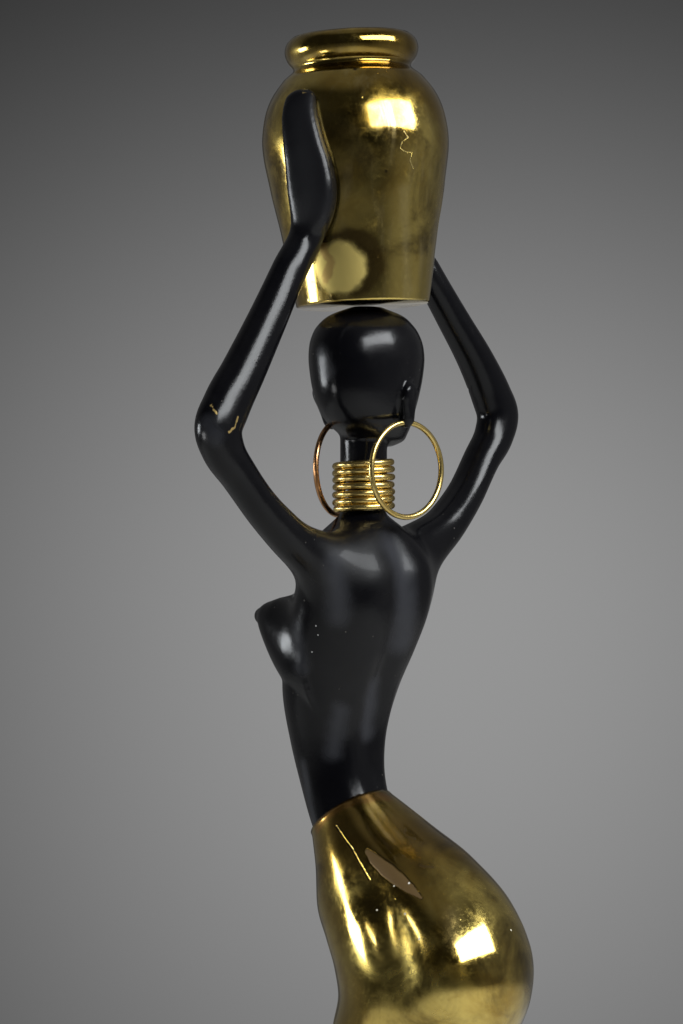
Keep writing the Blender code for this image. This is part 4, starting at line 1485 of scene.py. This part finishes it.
# %% Wire brass
def drawn_brass(name, color, warm):
    """Drawn wire: soft gloss, warmer clouds, small dull patches."""
    made = Finish(name, color, 0.24, 1.0, 0.0003)
    made.lay(made.effect(clouds, Scale=60.0, Low=0.4, High=0.65), 0.7, color=warm, roughness=0.32)
    grime = made.effect(clouds, Scale=240.0, Offset=(2, 2, 2), Low=0.56, High=0.76)
    made.lay(grime, 0.5, color=DARKENED, roughness=0.5, height=0.05)
    return made.done()


give(drawn_brass("drawn_wire", (0.74, 0.56, 0.20), (0.56, 0.39, 0.12)), coil, right_hoop)
give(drawn_brass("drawn_wire_red", (0.55, 0.30, 0.14), (0.34, 0.16, 0.06)), left_hoop)

# %% [markdown]
# The light comes from one big softbox to the right of the camera and above it, a lower one on the left,
# and a small one close by, below the jar. Polished brass shows each as a bright patch with the lamp's own
# outline, so their sizes matter as much as their strengths.

# %% Lights
def direction(azimuth, elevation):
    """A direction seen from the figure: degrees from the camera towards image right, and upwards."""
    a, e = math.radians(azimuth), math.radians(elevation)
    level = toward_camera * math.cos(a) + image_right * math.sin(a)
    return level * math.cos(e) + Vector((0, 0, math.sin(e)))


def softbox(name, azimuth, elevation, distance, width, height, radiance, aim, tint=(1, 1, 1)):
    """A softbox that faces a point at some height on the figure's axis."""
    light = bpy.data.lights.new(name, "AREA")
    light.shape = "RECTANGLE"
    light.size = width
    light.size_y = height
    light.energy = radiance * math.pi * width * height
    light.color = tint
    made = bpy.data.objects.new(name, light)
    bpy.context.scene.collection.objects.link(made)
    back = direction(azimuth, elevation)
    made.location = Vector((0, 0, aim)) + back * distance
    made.rotation_mode = "QUATERNION"
    made.rotation_quaternion = (-back).to_track_quat("-Z", "Y")
    made.visible_camera = False
    print(name, "stands", round(distance, 2), "m away")
    return made


softbox("softbox_right", 48, 26, 1.6, 1.75, 0.70, 13.0, 0.87, (0.95, 0.98, 1.0))
softbox("softbox_left", -93, 0, 1.5, 0.5, 0.36, 14.0, 0.68, (0.93, 0.97, 1.0))
softbox("softbox_small", -57, -38, 0.52, 0.11, 0.07, 8.0, 0.94)

# %% [markdown]
# The floor is a pale disc that fades out towards its rim, so that no horizon line crosses the picture.

# %% Floor
FLOOR_RADIUS = 2.2

bm = bmesh.new()
bmesh.ops.create_circle(bm, cap_ends=True, segments=96, radius=FLOOR_RADIUS)
floor = bpy.data.objects.new("floor", to_mesh(bm, "floor"))
bpy.context.scene.collection.objects.link(floor)
floor_material = bpy.data.materials.new("pale_floor")
floor_material.use_nodes = True
floor_tree = floor_material.node_tree
floor_shader = floor_tree.nodes["Principled BSDF"]
floor_shader.inputs["Base Color"].default_value = (0.62, 0.61, 0.59, 1)
floor_shader.inputs["Roughness"].default_value = 0.75
coordinates = place_node(floor_tree, "TexCoord").outputs["Object"]
from_axis = vectors(floor_tree, "LENGTH", coordinates).outputs["Value"]
faded = ramp_between(floor_tree, from_axis, FLOOR_RADIUS, 0.5 * FLOOR_RADIUS)
feed(floor_tree, floor_shader.inputs["Alpha"], faded)
give(floor_material, floor)
print("floor is", 2 * FLOOR_RADIUS, "m across")

# %% [markdown]
# The grey backdrop with its pool of light is painted on the sky by direction. A wall of paper would do
# for one picture, but it would stand in the way when the camera walks round.

# %% Backdrop
POOL_LIGHT = 0.298
SWEEP_LIGHT = 0.085
OVERHEAD_LIGHT = 0.11
ROOM_LIGHT = 0.022
RIGHT_WALL_LIGHT = 0.14
LOW_GLOW_LIGHT = 0.10

world = bpy.data.worlds.new("studio")
bpy.context.scene.world = world
world.use_nodes = True
sky = world.node_tree
background = sky.nodes["Background"]
looking = place_node(sky, "TexCoord").outputs["Generated"]
to_right = vectors(sky, "DOT_PRODUCT", looking, tuple(image_right)).outputs["Value"]
to_back = vectors(sky, "DOT_PRODUCT", looking, tuple(-toward_camera)).outputs["Value"]
upward = vectors(sky, "DOT_PRODUCT", looking, (0, 0, 1)).outputs["Value"]


def pool(middle_right, middle_up, spread_right, spread_above, spread_below):
    """A soft pool of light on the backdrop, from sines of angles."""
    aside = compute(sky, "DIVIDE", compute(sky, "SUBTRACT", to_right, middle_right), spread_right)
    rise = compute(sky, "SUBTRACT", upward, middle_up)
    above = compute(sky, "DIVIDE", compute(sky, "MAXIMUM", rise, 0.0), spread_above)
    below = compute(sky, "DIVIDE", compute(sky, "MINIMUM", rise, 0.0), spread_below)
    total = compute(sky, "MULTIPLY", aside, aside)
    total = compute(sky, "MULTIPLY_ADD", above, above, total)
    total = compute(sky, "MULTIPLY_ADD", below, below, total)
    return compute(sky, "EXPONENT", compute(sky, "MULTIPLY", total, -0.5))


behind = ramp_between(sky, to_back, -0.1, 0.4)
outside = ramp_between(sky, to_back, 0.975, 0.90)
light_pool = compute(sky, "MULTIPLY", pool(0.036, -0.0255, 0.1457, 0.119, 0.171), POOL_LIGHT)
light_pool = compute(sky, "MULTIPLY", light_pool, behind)
sweep = compute(sky, "MULTIPLY", compute(sky, "MULTIPLY", behind, outside), SWEEP_LIGHT)
print("backdrop:", len(sky.nodes), "nodes")

# %% [markdown]
# Polished brass also mirrors the room behind the camera. A bright ceiling, a pale wall to the right and
# a glow from the floor are added to the same sky, all outside the part that the camera sees directly.

# %% Room
overhead = compute(sky, "MULTIPLY", ramp_between(sky, upward, 0.75, 0.97), OVERHEAD_LIGHT)
room = compute(sky, "MULTIPLY", outside, ROOM_LIGHT)
right_wall = compute(sky, "MULTIPLY", ramp_between(sky, to_right, 0.45, 0.98), RIGHT_WALL_LIGHT)
right_wall = compute(sky, "MULTIPLY", right_wall, ramp_between(sky, to_back, 0.5, 0.0))
low_glow = compute(sky, "MULTIPLY", ramp_between(sky, upward, -0.05, -0.5), outside)
low_glow = compute(sky, "MULTIPLY", low_glow, LOW_GLOW_LIGHT)
room = compute(sky, "ADD", room, compute(sky, "ADD", right_wall, low_glow))
level = compute(sky, "ADD", compute(sky, "ADD", light_pool, sweep), compute(sky, "ADD", overhead, room))
shade = place_node(sky, "CombineColor")
for socket in shade.inputs:
    feed(sky, socket, level)
feed(sky, background.inputs["Color"], shade.outputs[0])
background.inputs["Strength"].default_value = 1.0
bpy.context.scene.view_settings.view_transform = "Standard"
print("backdrop and room:", len(sky.nodes), "nodes")
